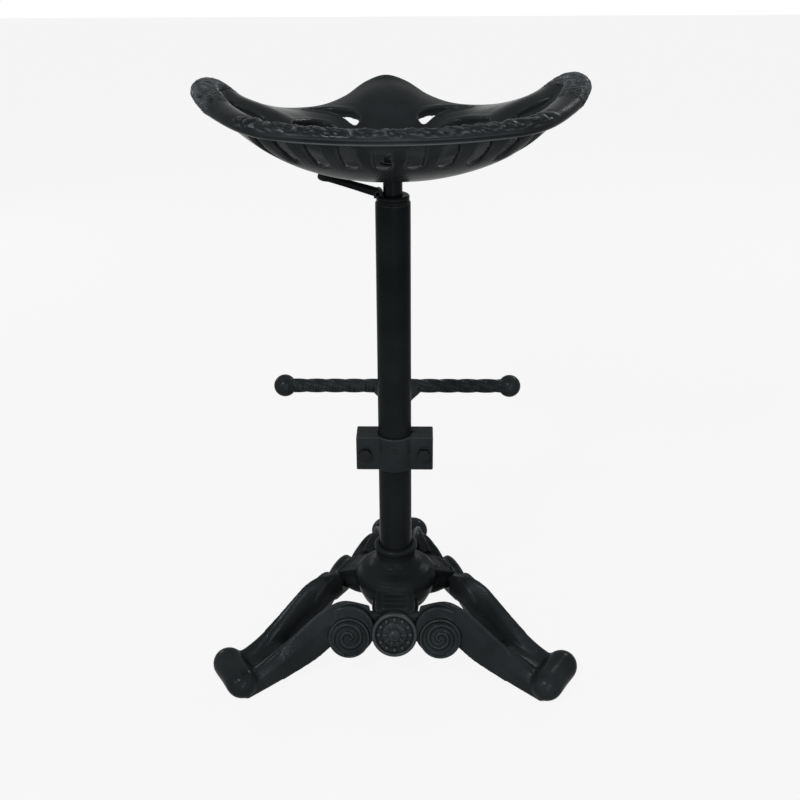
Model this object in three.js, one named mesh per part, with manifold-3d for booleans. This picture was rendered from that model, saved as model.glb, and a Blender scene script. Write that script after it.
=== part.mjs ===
// Tractor seat stool: a cast pan seat on a sliding stem, a tube column with a clamped footrest bar,
// and a scroll base on three forked legs. Millimetres, Z up, the floor at zero.
// The sitter faces +Y. The lowest seat height and the raised lock lever are modelled.
import * as THREE from 'three';
import { mergeVertices } from 'three/addons/utils/BufferGeometryUtils.js';
import Module from 'manifold-3d';

const wasm = await Module();
wasm.setup();

// General clearances: a gap between pieces, how far a cutter runs past a face, how deep a joined
// shape sinks into its neighbour, and how far from flat the facets of one face may lie
const clearance = 0.3;
const overrun = 4;
const sink = 1;
const flatTolerance = 0.02;

// How many sides round shapes have, from small to large
const fineSides = 10;
const smallSides = 12;
const middleSides = 20;
const largeSides = 24;
const fullSides = 28;

// Column and its socket
const columnDiameter = 38;
const columnWall = 2.5;
const columnLength = 478;
const socketDepth = 59;
const plugHeight = 14;
const studDiameter = 12;
const studDrop = 16;
const studWasherRadius = 13;
const studNutFlats = 19;
const studNutHeight = 10;
const washerThickness = 2;

// Hub casting
const hubRadius = 50;
const hubFloorHeight = 41;
const hubWaistHeight = 94;
const hubEdge = 4;
const hubShoulderRise = 6;
const hubShoulderRadius = 28.5;
const neckRadius = 22;
const neckRise = 10;
const neckTopRadius = 23.5;
const collarRadius = 25.5;
const collarHeight = 129.5;
const collarBand = 10;
const collarFlare = 5;
const collarEdge = 2;
const bossWidth = 34;
const bossTopHeight = 92;
const bossBottomHeight = 57;
const bossSteps = 4;
const stepRun = 5;
const stepDrop = 3.4;
const backingRadius = 9;
const backingDepth = 9;

// Rosettes and scrolls: each side of the base is a scroll, a rosette and a scroll in one row
const legCount = 3;
const faceDistance = 88;
const faceHeight = 57;
const faceTilt = THREE.MathUtils.degToRad(15);
const rosetteRadius = 26.5;
const rosetteThickness = 12;
const rosetteEdge = 1.5;
const rosetteRimWidth = 3.5;
const rosetteRimSlope = 2;
const rosetteDish = 3;
const rosetteRingRadius = 9.5;
const rosetteRingDrop = 1.2;
const rosetteScrewRadius = 3;
const rosetteScrewLength = 24;
const rosetteScrewHead = 7;
const rosetteScrewDome = 4.8;
const scrollSpacing = 53;
const scrollRadius = 29.8;
const scrollDepth = 21;
const scrollLift = 3.5;
const buttonRadius = 24;
const buttonDrop = 7.5;
const buttonHeight = 4;
const buttonRim = 2.6;
const buttonDish = 1.6;
const voluteRadius = 20.5;
const voluteWidth = 3.4;
const voluteHeight = 1;
const voluteTurns = 1.75;
const voluteSteps = 12;
const voluteStartShare = 0.1;
const voluteTaperShare = 0.5;

// Legs
const footRadius = 213;
const armStart = 84;
const armSteps = 7;
const toeRadius = 18.6;
const toeHalfLength = 39;
const toeEndLength = 20;
const toeEndSteps = 4;
const toeWaist = 0.975;
const soleFlat = 1.2;
const earThickness = 5;
const earRadius = 15;

// Cap, guide bush and stem
const capDiameter = 35.6;
const capHeight = 7.5;
const capEdge = 1.2;
const bushHeight = 40;
const stemDiameter = 20.6;
const seatTravel = 200;
const sliderHeight = 24;
const stopGap = 12;
const flangeRadius = 24;
const flangeThickness = 4;
const flangeEdge = 1;
const flangeGap = 20.5;

// Lock lever
const leverEyeRadius = 5;
const leverEyeWidth = 9.4;
const leverPinDiameter = 4;
const leverLength = 61;
const leverRootRadius = 4.6;
const leverTipRadius = 4.5;
const leverRise = THREE.MathUtils.degToRad(17);
const leverPinLift = 2;
const lugWall = 3.2;
const lugInset = 1;

// Seat pan and its pivot
const seatTurn = THREE.MathUtils.degToRad(3.8);
const seatHalfWidth = 190;
const seatRear = 167;
const seatFront = 179;
const bowlDepth = 70;
const bowlShare = 0.99;
const shelfPower = 4;
const panThickness = 7;
const padRadius = 32;
const rimRadius = 10;
const rimSteps = 38;
const rimSides = 8;
const slotCount = 10;
const slotSpacing = THREE.MathUtils.degToRad(11.8);
const slotWidth = 15.6;
const slotLow = 34;
const slotHigh = 60;
const swivelWasherInset = 4;
const seatWasherRadius = 13;
const pivotDiameter = 10;
const pivotDepth = 30;
const pivotEndGap = 2;
const pivotHeadRadius = 9;
const pivotHeadHeight = 7;

// Footrest clamp and bracket
const clampHeight = 42;
const clampCentre = 256;
const clampHalfWidth = 44;
const clampHalfDepth = 15;
const clampSplit = 2;
const sleeveRadius = 23;
const clampBoltPlace = 33.5;
const clampBoltDiameter = 8;
const clampBoltFlats = 13;
const clampHeadHeight = 5.5;
const clampNutHeight = 6.5;
const boltEnd = 2;
const setScrewRadius = 3;
const setScrewRise = 7;
const armHalfWidth = 9;
const armThickness = 12;
const flareHalfWidth = 31;
const flareShares = [[0, 0.62], [0.14, 0.72], [0.41, 0.81], [1, 0.97], [1, 1]];

// Footrest bar
const barReach = 125;
const barHeight = 279;
const barHalfLength = 139.6;
const barSide = 14;
const barTwists = 2.75;
const barTwistSteps = 28;
const barFlatShare = 0.62;
const barCornerShare = 1.06;
const saddleShare = 1.25;
const ballRadius = 13;
const ballInsetShare = 0.8;
const spigotRadius = 5;

// Sizes that follow
const columnRadius = columnDiameter / 2;
const boreRadius = columnRadius - columnWall;
const plugRadius = boreRadius - clearance;
const studRadius = studDiameter / 2;
const socketFloor = collarHeight - socketDepth;
const columnBottom = socketFloor + clearance;
const columnTop = columnBottom + columnLength;
const studBottom = hubFloorHeight - studDrop;
const studWasherTop = hubFloorHeight - clearance;
const studWasherBottom = studWasherTop - washerThickness;
const studNutTop = studWasherBottom - clearance;
const studNutBottom = studNutTop - studNutHeight;
const rosetteBack = faceDistance - rosetteThickness * Math.cos(faceTilt);
const rosetteBackHeight = faceHeight - rosetteThickness * Math.sin(faceTilt);
const rosetteScrewSeat = rosetteThickness - rosetteRingDrop + clearance;
const rosetteScrewEnd = sink - rosetteScrewLength;
const earStack = 2 * earThickness + 3 * clearance;
const toeHeight = toeRadius - soleFlat;
const capRadius = capDiameter / 2;
const capBottom = columnTop + clearance;
const capTop = capBottom + capHeight;
const stemRadius = stemDiameter / 2;
const bushBore = stemRadius + clearance;
const leverPinX = -(stemRadius + clearance + leverEyeRadius);
const leverPinZ = capTop + leverPinLift;
const flangeBottom = capTop + flangeGap;
const flangeTop = flangeBottom + flangeThickness;
const stemTop = flangeTop - clearance;
const stemBottom = columnTop - bushHeight - stopGap - seatTravel - sliderHeight;
const swivelLow = flangeTop + clearance;
const swivelHigh = swivelLow + washerThickness;
const seatBottom = swivelHigh + clearance;
const seatWasherLow = seatBottom + panThickness + clearance;
const seatWasherHigh = seatWasherLow + washerThickness;
const pivotRadius = pivotDiameter / 2;
const pivotHole = pivotRadius + clearance;
const clampLow = clampCentre - clampHeight / 2;
const clampHigh = clampCentre + clampHeight / 2;
const clampBore = columnRadius + clearance;
const clampFace = clampHalfDepth + clearance;
const clampBoltRadius = clampBoltDiameter / 2;
const saddleRadius = barSide / 2 * saddleShare;
const ballInset = barHalfLength - ballRadius * ballInsetShare;

// Paints and metals
const castPaint = new THREE.MeshStandardMaterial({ color: 0x1b2022, roughness: 0.42, metalness: 0.15 });
const tubePaint = new THREE.MeshStandardMaterial({ color: 0x1a1e20, roughness: 0.36, metalness: 0.15 });
const darkSteel = new THREE.MeshStandardMaterial({ color: 0x2a2d2f, roughness: 0.4, metalness: 0.7 });
const brightSteel = new THREE.MeshStandardMaterial({ color: 0x8b8f92, roughness: 0.3, metalness: 1 });
const bronze = new THREE.MeshStandardMaterial({ color: 0x8a6a3c, roughness: 0.5, metalness: 0.9 });
const nylon = new THREE.MeshStandardMaterial({ color: 0xd8d6cc, roughness: 0.6, metalness: 0 });

// Solids: closed geometries that can be joined and cut

function toSolid(geometry) {
  const bare = geometry.clone();
  bare.deleteAttribute('normal');
  bare.deleteAttribute('uv');
  const merged = mergeVertices(bare);
  return new wasm.Manifold(new wasm.Mesh({
    numProp: 3,
    vertProperties: merged.attributes.position.array,
    triVerts: Uint32Array.from(merged.index.array),
  }));
}

function toGeometry(solid) {
  const mesh = solid.asOriginal().simplify(flatTolerance).getMesh();
  const geometry = new THREE.BufferGeometry();
  geometry.setAttribute('position', new THREE.BufferAttribute(mesh.vertProperties, 3));
  geometry.setIndex(new THREE.BufferAttribute(mesh.triVerts, 1));
  geometry.computeVertexNormals();
  return geometry;
}

function join(geometries) {
  return geometries.map(toSolid).reduce((whole, piece) => whole.add(piece));
}

function cut(body, tools) {
  return tools.map(toSolid).reduce((rest, tool) => rest.subtract(tool), body);
}

// A turned shape about Z from [radius, height] points
function turned(points, sides) {
  const profile = points.map(([radius, height]) => new THREE.Vector2(radius, height));
  return new THREE.LatheGeometry(profile, sides).rotateX(Math.PI / 2);
}

// An upright cylinder from one height to another
function post(radius, low, high, sides = middleSides) {
  const geometry = new THREE.CylinderGeometry(radius, radius, high - low, sides);
  return geometry.rotateX(Math.PI / 2).translate(0, 0, (low + high) / 2);
}

// An upright ring with square edges
function ring(inner, outer, low, high, sides = largeSides) {
  return turned([[inner, low], [outer, low], [outer, high], [inner, high], [inner, low]], sides);
}

// A flat outline pushed up along Z
function prism(points, low, high) {
  const shape = new THREE.Shape(points.map(([x, y]) => new THREE.Vector2(x, y)));
  const geometry = new THREE.ExtrudeGeometry(shape, { depth: high - low, bevelEnabled: false });
  return geometry.translate(0, 0, low);
}

// A block between two opposite corners, in any order
function block([x1, y1, z1], [x2, y2, z2]) {
  const geometry = new THREE.BoxGeometry(Math.abs(x2 - x1), Math.abs(y2 - y1), Math.abs(z2 - z1));
  return geometry.translate((x1 + x2) / 2, (y1 + y2) / 2, (z1 + z2) / 2);
}

// A hexagon head or nut with its axis on Z
function hexagon(acrossFlats, low, high) {
  return post(acrossFlats / Math.sqrt(3), low, high, 6);
}

// A skin over a row of rings of points, all with the same count, closed at both ends or into a loop
function loft(rings, looped = false) {
  const count = rings[0].length;
  const positions = rings.flat().flatMap((point) => [point.x, point.y, point.z]);
  const indices = [];
  const spans = looped ? rings.length : rings.length - 1;
  for (let i = 0; i < spans; i += 1) {
    const next = (i + 1) % rings.length;
    for (let j = 0; j < count; j += 1) {
      const k = (j + 1) % count;
      const a = i * count + j;
      const b = i * count + k;
      const c = next * count + k;
      const d = next * count + j;
      indices.push(a, b, c, a, c, d);
    }
  }
  if (!looped) {
    const last = (rings.length - 1) * count;
    for (let j = 1; j < count - 1; j += 1) {
      indices.push(0, j + 1, j);
      indices.push(last, last + j, last + j + 1);
    }
  }
  const geometry = new THREE.BufferGeometry();
  geometry.setAttribute('position', new THREE.Float32BufferAttribute(positions, 3));
  geometry.setIndex(enclosedVolume(rings.flat(), indices) < 0 ? indices.reverse() : indices);
  return geometry;
}

// The volume inside a closed skin, negative where its faces point inwards
function enclosedVolume(points, indices) {
  let volume = 0;
  for (let i = 0; i < indices.length; i += 3) {
    const [a, b, c] = [points[indices[i]], points[indices[i + 1]], points[indices[i + 2]]];
    volume += a.dot(new THREE.Vector3().crossVectors(b, c)) / 6;
  }
  return volume;
}

const stool = new THREE.Group();

function addPiece(parent, name, geometry, material) {
  const mesh = new THREE.Mesh(geometry, material);
  mesh.name = name;
  parent.add(mesh);
  return mesh;
}

// The three faces of the base look towards the rear and towards the two front corners
const faceNames = ['rear', 'front_right', 'front_left'];
const faceAngle = (i) => -Math.PI / 2 + i * 2 * Math.PI / legCount;
const legAngle = (i) => faceAngle(i) - Math.PI / legCount;

// Moves a shape built about Z, with the rosette's back plane at zero, onto a face along +X
function placeOnFace(geometry) {
  return geometry.rotateY(Math.PI / 2 - faceTilt).translate(rosetteBack, 0, rosetteBackHeight);
}

function onFace(geometry, i) {
  return placeOnFace(geometry).rotateZ(faceAngle(i));
}

// Hub: a round bowl with a flared collar for the column and three stepped bosses.
// The bowl's outline goes from its floor to its waist, as shares of its radius and its depth.
const bowlShares = [[0, 0], [0.55, 0.03], [0.82, 0.14], [0.95, 0.33], [1, 0.6], [0.98, 1]];

function makeHub() {
  const deep = hubWaistHeight - hubFloorHeight;
  const shoulder = hubWaistHeight + hubShoulderRise;
  const profile = bowlShares.map(([out, up]) => [out * hubRadius, hubFloorHeight + up * deep]);
  profile.push([hubRadius - hubEdge, hubWaistHeight + hubEdge], [hubShoulderRadius, shoulder]);
  profile.push([neckRadius, hubWaistHeight + neckRise], [neckTopRadius, collarHeight - collarBand]);
  profile.push([collarRadius, collarHeight - collarFlare], [collarRadius, collarHeight - collarEdge]);
  profile.push([collarRadius - collarEdge, collarHeight], [0, collarHeight]);
  const parts = [turned(profile, largeSides)];
  const tools = [
    post(columnRadius + clearance, socketFloor, collarHeight + overrun),
    post(studRadius + clearance, hubFloorHeight - overrun, socketFloor + overrun, smallSides),
  ];
  for (let i = 0; i < legCount; i += 1) {
    parts.push(makeBoss().rotateZ(faceAngle(i)));
    parts.push(onFace(post(backingRadius, -earStack - backingDepth, -earStack), i));
    tools.push(onFace(post(rosetteScrewRadius + clearance, -rosetteScrewLength, overrun, fineSides), i));
    tools.push(onFace(makeEarPocket(), i));
  }
  return toGeometry(cut(join(parts), tools));
}

// One boss along +X: its top steps down to the rosette and its end is square to the rosette's axis
function makeBoss() {
  const slope = Math.tan(faceTilt);
  const endFoot = rosetteBack - clearance / Math.cos(faceTilt);
  const end = (height) => endFoot - (height - rosetteBackHeight) * slope;
  const outline = [[0, bossBottomHeight], [0, bossTopHeight]];
  let x = hubRadius - stepRun;
  let z = bossTopHeight;
  for (let i = 0; i < bossSteps; i += 1) {
    outline.push([x, z], [x, z - stepDrop]);
    x += stepRun;
    z -= stepDrop;
  }
  outline.push([end(z), z], [end(bossBottomHeight), bossBottomHeight]);
  return prism(outline, -bossWidth / 2, bossWidth / 2).rotateX(Math.PI / 2);
}

// Room in a boss for the ears of two legs, one behind the other
function makeEarPocket() {
  const half = earRadius + clearance;
  const wide = bossWidth / 2 + overrun;
  return block([-half, -wide, -earStack], [2 * half, wide, overrun]);
}

addPiece(stool, 'base_hub', makeHub(), castPaint);

// Rosette: a dished disc with a raised rim and an inner ring
function makeRosette() {
  const rim = rosetteRadius - rosetteRimWidth;
  const dish = rosetteThickness - rosetteDish;
  const ringTop = rosetteThickness - rosetteRingDrop;
  const bore = rosetteScrewRadius + clearance;
  return turned([
    [bore, 0],
    [rosetteRadius - rosetteEdge, 0],
    [rosetteRadius, rosetteEdge],
    [rosetteRadius, rosetteThickness - rosetteEdge],
    [rosetteRadius - rosetteEdge, rosetteThickness],
    [rim, rosetteThickness],
    [rim - rosetteRimSlope, dish],
    [rosetteRingRadius + rosetteRimSlope, dish],
    [rosetteRingRadius, ringTop],
    [bore, ringTop],
    [bore, 0],
  ], middleSides);
}

faceNames.forEach((name, i) => {
  addPiece(stool, `rosette_${name}`, onFace(makeRosette(), i), castPaint);
});

// Rosette screws: domed heads on the rosettes' middles.
// The dome's outline is given as shares of the head's radius and of the dome's height.
const domeShares = [[1, 0], [0.9, 0.42], [0.5, 0.83], [0, 1]];

function makeRosetteScrew() {
  const profile = [[0, rosetteScrewEnd], [rosetteScrewRadius, rosetteScrewEnd]];
  profile.push([rosetteScrewRadius, rosetteScrewSeat]);
  for (const [out, up] of domeShares) {
    profile.push([rosetteScrewHead * out, rosetteScrewSeat + rosetteScrewDome * up]);
  }
  return turned(profile, smallSides);
}

faceNames.forEach((name, i) => {
  addPiece(stool, `rosette_screw_${name}`, onFace(makeRosetteScrew(), i), darkSteel);
});

// Volute: the raised spiral on a scroll's face, flat on top at zero, wound one way or the other
function makeVolute(hand) {
  const spiral = (step, inset) => {
    const share = step / voluteSteps;
    const angle = hand * share * voluteTurns * 2 * Math.PI;
    const radius = voluteRadius * (voluteStartShare + (1 - voluteStartShare) * share) - inset;
    return [radius * Math.cos(angle), radius * Math.sin(angle)];
  };
  const outer = [];
  const inner = [];
  for (let step = 0; step <= voluteSteps; step += 1) {
    outer.push(spiral(step, 0));
    inner.push(spiral(step, voluteWidth * Math.min(1, voluteTaperShare + step / voluteSteps)));
  }
  return prism([...outer, ...inner.reverse()], -voluteHeight - sink, 0);
}

// Leg: two arms that leave two neighbouring faces of the base and meet at one rolled toe.
// It is built along +X, with one arm on each side of Y = 0. The stations run from scroll to toe:
// the share of the arm's length, its outer and inner sides, its underside and its ridge.
const armStations = [
  { along: 0, outer: 38, inner: 17, low: 34, high: 88 },
  { along: 0.17, outer: 35, inner: 15, low: 30, high: 82 },
  { along: 0.31, outer: 32, inner: 12, low: 23, high: 71 },
  { along: 0.51, outer: 30, inner: 7, low: 12.5, high: 52 },
  { along: 0.705, outer: 29, inner: 0, low: 5, high: 36 },
  { along: 0.875, outer: 28, inner: -2, low: 1.5, high: 24 },
  { along: 1, outer: 27, inner: -2, low: 1, high: 21 },
];

// The arm's cross-section, as shares of its width from the inner side and of its height
const armSectionShares = [
  [0.1, 0], [0.92, 0], [1, 0.25], [0.95, 0.8],
  [0.78, 1], [0.55, 0.97], [0.25, 0.62], [0, 0.3],
];

function makeArm(side) {
  const strands = armSectionShares.map(([across, up]) => new THREE.CatmullRomCurve3(
    armStations.map(({ along, outer, inner, low, high }) => new THREE.Vector3(
      armStart + along * (footRadius - armStart),
      side * (inner + across * (outer - inner)),
      low + up * (high - low),
    )),
  ));
  const rings = [];
  for (let i = 0; i <= armSteps; i += 1) {
    rings.push(strands.map((strand) => strand.getPoint(i / armSteps)));
  }
  return loft(rings);
}

// Scroll: a round drum with a rimmed button low on its face, which carries the volute
function makeScroll(side) {
  const toButton = (geometry) => geometry.translate(buttonDrop - scrollLift, 0, 0);
  const foot = -buttonHeight - sink;
  const onScroll = [
    post(scrollRadius, -scrollDepth, -buttonHeight).translate(-scrollLift, 0, 0),
    toButton(post(buttonRadius - buttonRim / 2, foot, -buttonDish, fineSides)),
    toButton(ring(buttonRadius - buttonRim, buttonRadius, foot, 0, middleSides)),
    toButton(makeVolute(side)),
  ];
  return onScroll.map((geometry) => geometry
    .rotateY(Math.PI / 2 - faceTilt)
    .translate(faceDistance, -side * scrollSpacing, faceHeight)
    .rotateZ(side * Math.PI / legCount));
}

// Toe: a roll with a slight waist and rounded ends, lying across the leg
function makeToe() {
  const straight = toeHalfLength - toeEndLength;
  const end = [];
  for (let i = 0; i < toeEndSteps; i += 1) {
    const angle = (i / toeEndSteps) * Math.PI / 2;
    end.push([toeRadius * Math.cos(angle), straight + toeEndLength * Math.sin(angle)]);
  }
  end.push([0, toeHalfLength]);
  const otherEnd = end.map(([radius, along]) => [radius, -along]).reverse();
  const profile = [...otherEnd, [toeRadius * toeWaist, 0], ...end];
  return turned(profile, smallSides).rotateX(Math.PI / 2);
}

// Ear: a plate with a round end, behind the rosette. The ears of two legs lie one behind the other.
function makeEar(side) {
  const top = side > 0 ? -clearance : -earThickness - 2 * clearance;
  const bottom = top - earThickness;
  const reach = -side * (scrollSpacing - scrollRadius / 2);
  return [
    post(earRadius, bottom, top, smallSides),
    block([-earRadius, 0, bottom], [earRadius, reach, top]),
  ];
}

function makeLeg() {
  const reach = footRadius + 2 * toeRadius;
  const pieces = [makeToe().translate(footRadius, 0, toeHeight)];
  const tools = [block([0, -reach, -toeRadius], [reach, reach, 0])];
  for (const side of [1, -1]) {
    const toSide = (geometry) => placeOnFace(geometry).rotateZ(side * Math.PI / legCount);
    pieces.push(makeArm(side), ...makeScroll(side), ...makeEar(side).map(toSide));
    tools.push(toSide(post(rosetteRadius + clearance, -clearance, scrollDepth)));
    tools.push(toSide(post(rosetteScrewRadius + clearance, -earStack - overrun, overrun, fineSides)));
  }
  return toGeometry(cut(join(pieces), tools));
}

const leg = makeLeg();
['rear_left', 'rear_right', 'front'].forEach((name, i) => {
  addPiece(stool, `leg_${name}`, leg.clone(), castPaint).rotation.z = legAngle(i);
});

// Column: a steel tube that stands in the hub's socket, drawn down by a stud, a washer and a nut
addPiece(stool, 'column_tube', ring(boreRadius, columnRadius, columnBottom, columnTop), tubePaint);

const plug = join([
  post(plugRadius, columnBottom, columnBottom + plugHeight, largeSides),
  post(studRadius, studBottom, columnBottom + sink, smallSides),
]);
addPiece(stool, 'column_plug', toGeometry(plug), darkSteel);

const studWasher = ring(studRadius + clearance, studWasherRadius, studWasherBottom, studWasherTop);
addPiece(stool, 'column_washer', studWasher, darkSteel);

const studNut = cut(toSolid(hexagon(studNutFlats, studNutBottom, studNutTop)), [
  post(studRadius + clearance, studNutBottom - overrun, studNutTop + overrun, smallSides),
]);
addPiece(stool, 'column_nut', toGeometry(studNut), darkSteel);

// Guide bush: a sleeve in the column's mouth that the stem slides through
addPiece(stool, 'guide_bush', ring(bushBore, plugRadius, columnTop - bushHeight, columnTop), bronze);

// Top cap: a collar on the tube's end with two small lugs for the lock lever
function makeCap() {
  const bore = bushBore + clearance;
  const inner = leverEyeWidth / 2 + clearance;
  const lugReach = leverEyeRadius - lugInset;
  const lugFoot = capTop - 2 * capEdge;
  const parts = [turned([
    [bore, capBottom],
    [capRadius, capBottom],
    [capRadius, capTop - capEdge],
    [capRadius - capEdge, capTop],
    [bore, capTop],
    [bore, capBottom],
  ], largeSides)];
  for (const side of [-1, 1]) {
    parts.push(block(
      [leverPinX - lugReach, side * inner, lugFoot],
      [leverPinX + lugReach, side * (inner + lugWall), leverPinZ + lugReach],
    ));
  }
  const slot = block(
    [-capRadius - overrun, -inner, leverPinZ - leverEyeRadius - clearance],
    [leverPinX + leverEyeRadius + clearance, inner, capTop + overrun],
  );
  return toGeometry(cut(join(parts), [slot, leverPin(clearance, overrun)]));
}

// The lever's pin, or the hole for it where it is made wider and longer
function leverPin(wider, longer) {
  const half = leverEyeWidth / 2 + clearance + lugWall + longer;
  const pin = post(leverPinDiameter / 2 + wider, -half, half, fineSides);
  return pin.rotateX(Math.PI / 2).translate(leverPinX, 0, leverPinZ);
}

addPiece(stool, 'top_cap', makeCap(), tubePaint);
addPiece(stool, 'lever_pin', leverPin(0, 0), brightSteel);

// Lock lever: its round eye bears on the stem, and its arm rises under the pan to a round tip
function makeLever() {
  const across = (radius, half) => post(radius, -half, half, smallSides).rotateX(Math.PI / 2);
  const arm = [
    new THREE.CylinderGeometry(leverTipRadius, leverRootRadius, leverLength, fineSides),
    new THREE.SphereGeometry(leverTipRadius, fineSides, fineSides / 2).translate(0, leverLength / 2, 0),
  ].map((geometry) => geometry
    .translate(0, leverLength / 2, 0)
    .rotateZ(Math.PI / 2)
    .rotateX(Math.PI / 2)
    .rotateY(leverRise));
  const body = join([across(leverEyeRadius, leverEyeWidth / 2), ...arm]);
  const hole = across(leverPinDiameter / 2 + clearance, leverEyeWidth);
  return toGeometry(cut(body, [hole])).translate(leverPinX, 0, leverPinZ);
}

addPiece(stool, 'lock_lever', makeLever(), tubePaint);

// Stem: a rod with a threaded hole in its top, a flange near its top and a sliding ring at its foot
const stem = cut(toSolid(post(stemRadius, stemBottom, stemTop, largeSides)), [
  post(pivotHole, stemTop - pivotDepth, stemTop + overrun, smallSides),
]);
addPiece(stool, 'seat_stem', toGeometry(stem), darkSteel);
addPiece(stool, 'stem_slider', ring(bushBore, plugRadius, stemBottom, stemBottom + sliderHeight), nylon);

const flange = turned([
  [bushBore, flangeBottom],
  [flangeRadius - flangeEdge, flangeBottom],
  [flangeRadius, flangeBottom + flangeEdge],
  [flangeRadius, flangeTop],
  [bushBore, flangeTop],
  [bushBore, flangeBottom],
], fullSides);
addPiece(stool, 'stem_flange', flange, darkSteel);
const swivelWasher = ring(pivotHole, flangeRadius - swivelWasherInset, swivelLow, swivelHigh);
addPiece(stool, 'swivel_washer', swivelWasher, nylon);

// Seat pan. Its rim runs through these places: across and along as shares of the pan's half width and
// of its rear or front reach, height as a share of the bowl's depth, then how much the floor before it
// is a raised shelf, and the rim's own width and height as shares of the rim's radius.
const rimShares = [
  [0, -1, 1, 0.05, 1, 0.75],
  [0.36, -0.93, 1, 0.05, 1, 0.8],
  [0.68, -0.72, 1, 0.1, 1.2, 0.85],
  [0.87, -0.4, 1.06, 0.2, 1.4, 0.85],
  [0.975, -0.12, 1.16, 0.3, 1.4, 1.05],
  [1, 0.06, 1.2, 0.4, 1.4, 1.1],
  [0.94, 0.22, 1.11, 0.6, 1, 0.9],
  [0.81, 0.4, 0.79, 0.8, 0.6, 0.7],
  [0.66, 0.57, 0.58, 0.95, 0.5, 0.7],
  [0.51, 0.67, 0.51, 1, 0.5, 0.7],
  [0.37, 0.75, 0.52, 1, 0.5, 0.7],
  [0.24, 0.86, 0.61, 1, 0.5, 0.7],
  [0.12, 0.96, 0.78, 0.9, 0.55, 0.7],
  [0, 1, 0.865, 0.8, 0.6, 0.7],
];

// The pan's wall goes out from its pad to its rim in steps, given as shares of the way
const wallShares = [0, 0.22, 0.42, 0.6, 0.76, 0.89, 1];

const otherSide = rimShares.slice(1, -1).reverse().map(([across, ...rest]) => [-across, ...rest]);
const rimLoop = [...rimShares, ...otherSide];

function loopCurve(pick) {
  return new THREE.CatmullRomCurve3(rimLoop.map(pick), true, 'catmullrom', 0.5);
}

const rimPath = loopCurve(([across, along, up]) => new THREE.Vector3(
  across * seatHalfWidth,
  along * (along < 0 ? seatRear : seatFront),
  up * bowlDepth,
));
const rimForm = loopCurve(([, , , shelf, wide, tall]) => new THREE.Vector3(shelf, wide, tall));

const rimStations = Array.from({ length: rimSteps }, (_, i) => {
  const share = i / rimSteps;
  const [shelf, wide, tall] = rimForm.getPoint(share).toArray();
  return { place: rimPath.getPoint(share), tangent: rimPath.getTangent(share), shelf, wide, tall };
});

// A point of the pan's underside, at a share of the way from the pad's edge to the rim.
// The rear is part of an ellipse; the front rises early to a flat shelf under the thighs.
function panPoint({ place, shelf }, share) {
  const reach = Math.hypot(place.x, place.y);
  const radius = padRadius + (reach - padRadius) * share;
  const ellipse = (part) => 1 - Math.sqrt(1 - (bowlShare * part) ** 2);
  const bowl = ellipse(share) / ellipse(1);
  const flat = 1 - (1 - share ** 2) ** shelfPower;
  const height = place.z * (bowl + (flat - bowl) * shelf);
  return new THREE.Vector3(place.x * radius / reach, place.y * radius / reach, seatBottom + height);
}

// The pan as a shell between its underside and the same surface raised by its thickness
function makeShell() {
  const rings = wallShares.map((share) => rimStations.map((station) => panPoint(station, share)));
  const raised = rings.map((points, i) => points.map((point, j) => {
    const next = rings[Math.min(i + 1, rings.length - 1)][j];
    const back = rings[Math.max(i - 1, 0)][j];
    const outward = new THREE.Vector3().subVectors(next, back);
    const along = new THREE.Vector3().subVectors(
      points[(j + 1) % points.length],
      points[(j + points.length - 1) % points.length],
    );
    const normal = new THREE.Vector3().crossVectors(outward, along).normalize();
    if (i === 0) normal.set(0, 0, 1);
    return point.clone().addScaledVector(normal, panThickness);
  }));
  return loft([...rings, ...raised.reverse()]);
}

function makeRim() {
  const rings = rimStations.map(({ place, tangent, wide, tall }) => {
    const out = new THREE.Vector3(tangent.y, -tangent.x, 0).normalize();
    return Array.from({ length: rimSides }, (_, i) => {
      const angle = ((i + 0.5) / rimSides) * 2 * Math.PI;
      return new THREE.Vector3(place.x, place.y, seatBottom + place.z)
        .addScaledVector(out, rimRadius * wide * Math.cos(angle))
        .add(new THREE.Vector3(0, 0, rimRadius * tall * Math.sin(angle)));
    });
  });
  return loft(rings, true);
}

// Openings on each side of the pommel's neck, as shares of the pan's half width and front reach
const openingShares = {
  front: [
    [0.16, 0.5], [0.18, 0.56], [0.25, 0.61], [0.34, 0.65], [0.43, 0.64],
    [0.5, 0.6], [0.43, 0.56], [0.33, 0.54], [0.26, 0.48], [0.2, 0.43],
  ],
  middle: [
    [0.27, 0.37], [0.35, 0.42], [0.44, 0.39], [0.51, 0.28],
    [0.56, 0.15], [0.5, 0.1], [0.4, 0.15], [0.31, 0.26],
  ],
  side: [
    [0.68, 0.08], [0.72, 0.1], [0.81, 0.11], [0.9, 0.09],
    [0.89, 0.06], [0.79, 0.025], [0.7, 0.045],
  ],
};

function panOpening(shares, side) {
  const points = shares.map(([x, y]) => new THREE.Vector3(side * x * seatHalfWidth, y * seatFront, 0));
  const outline = new THREE.CatmullRomCurve3(points, true).getPoints(shares.length * 2).slice(1);
  const flat = outline.map(({ x, y }) => [x, y]);
  return prism(side > 0 ? flat : flat.reverse(), seatBottom - overrun, seatBottom + 2 * bowlDepth);
}

// A slot through the pan's rear wall, square to the wall, with its lower corners cut off
function wallSlot(angle) {
  const half = slotWidth / 2;
  const corner = half / 2;
  const outline = [
    [-half, slotHigh], [-half, slotLow + corner], [-corner, slotLow],
    [corner, slotLow], [half, slotLow + corner], [half, slotHigh],
  ];
  const tool = prism(outline, 0, seatRear * 2);
  return tool.rotateX(Math.PI / 2).translate(0, 0, seatBottom).rotateZ(angle);
}

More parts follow.
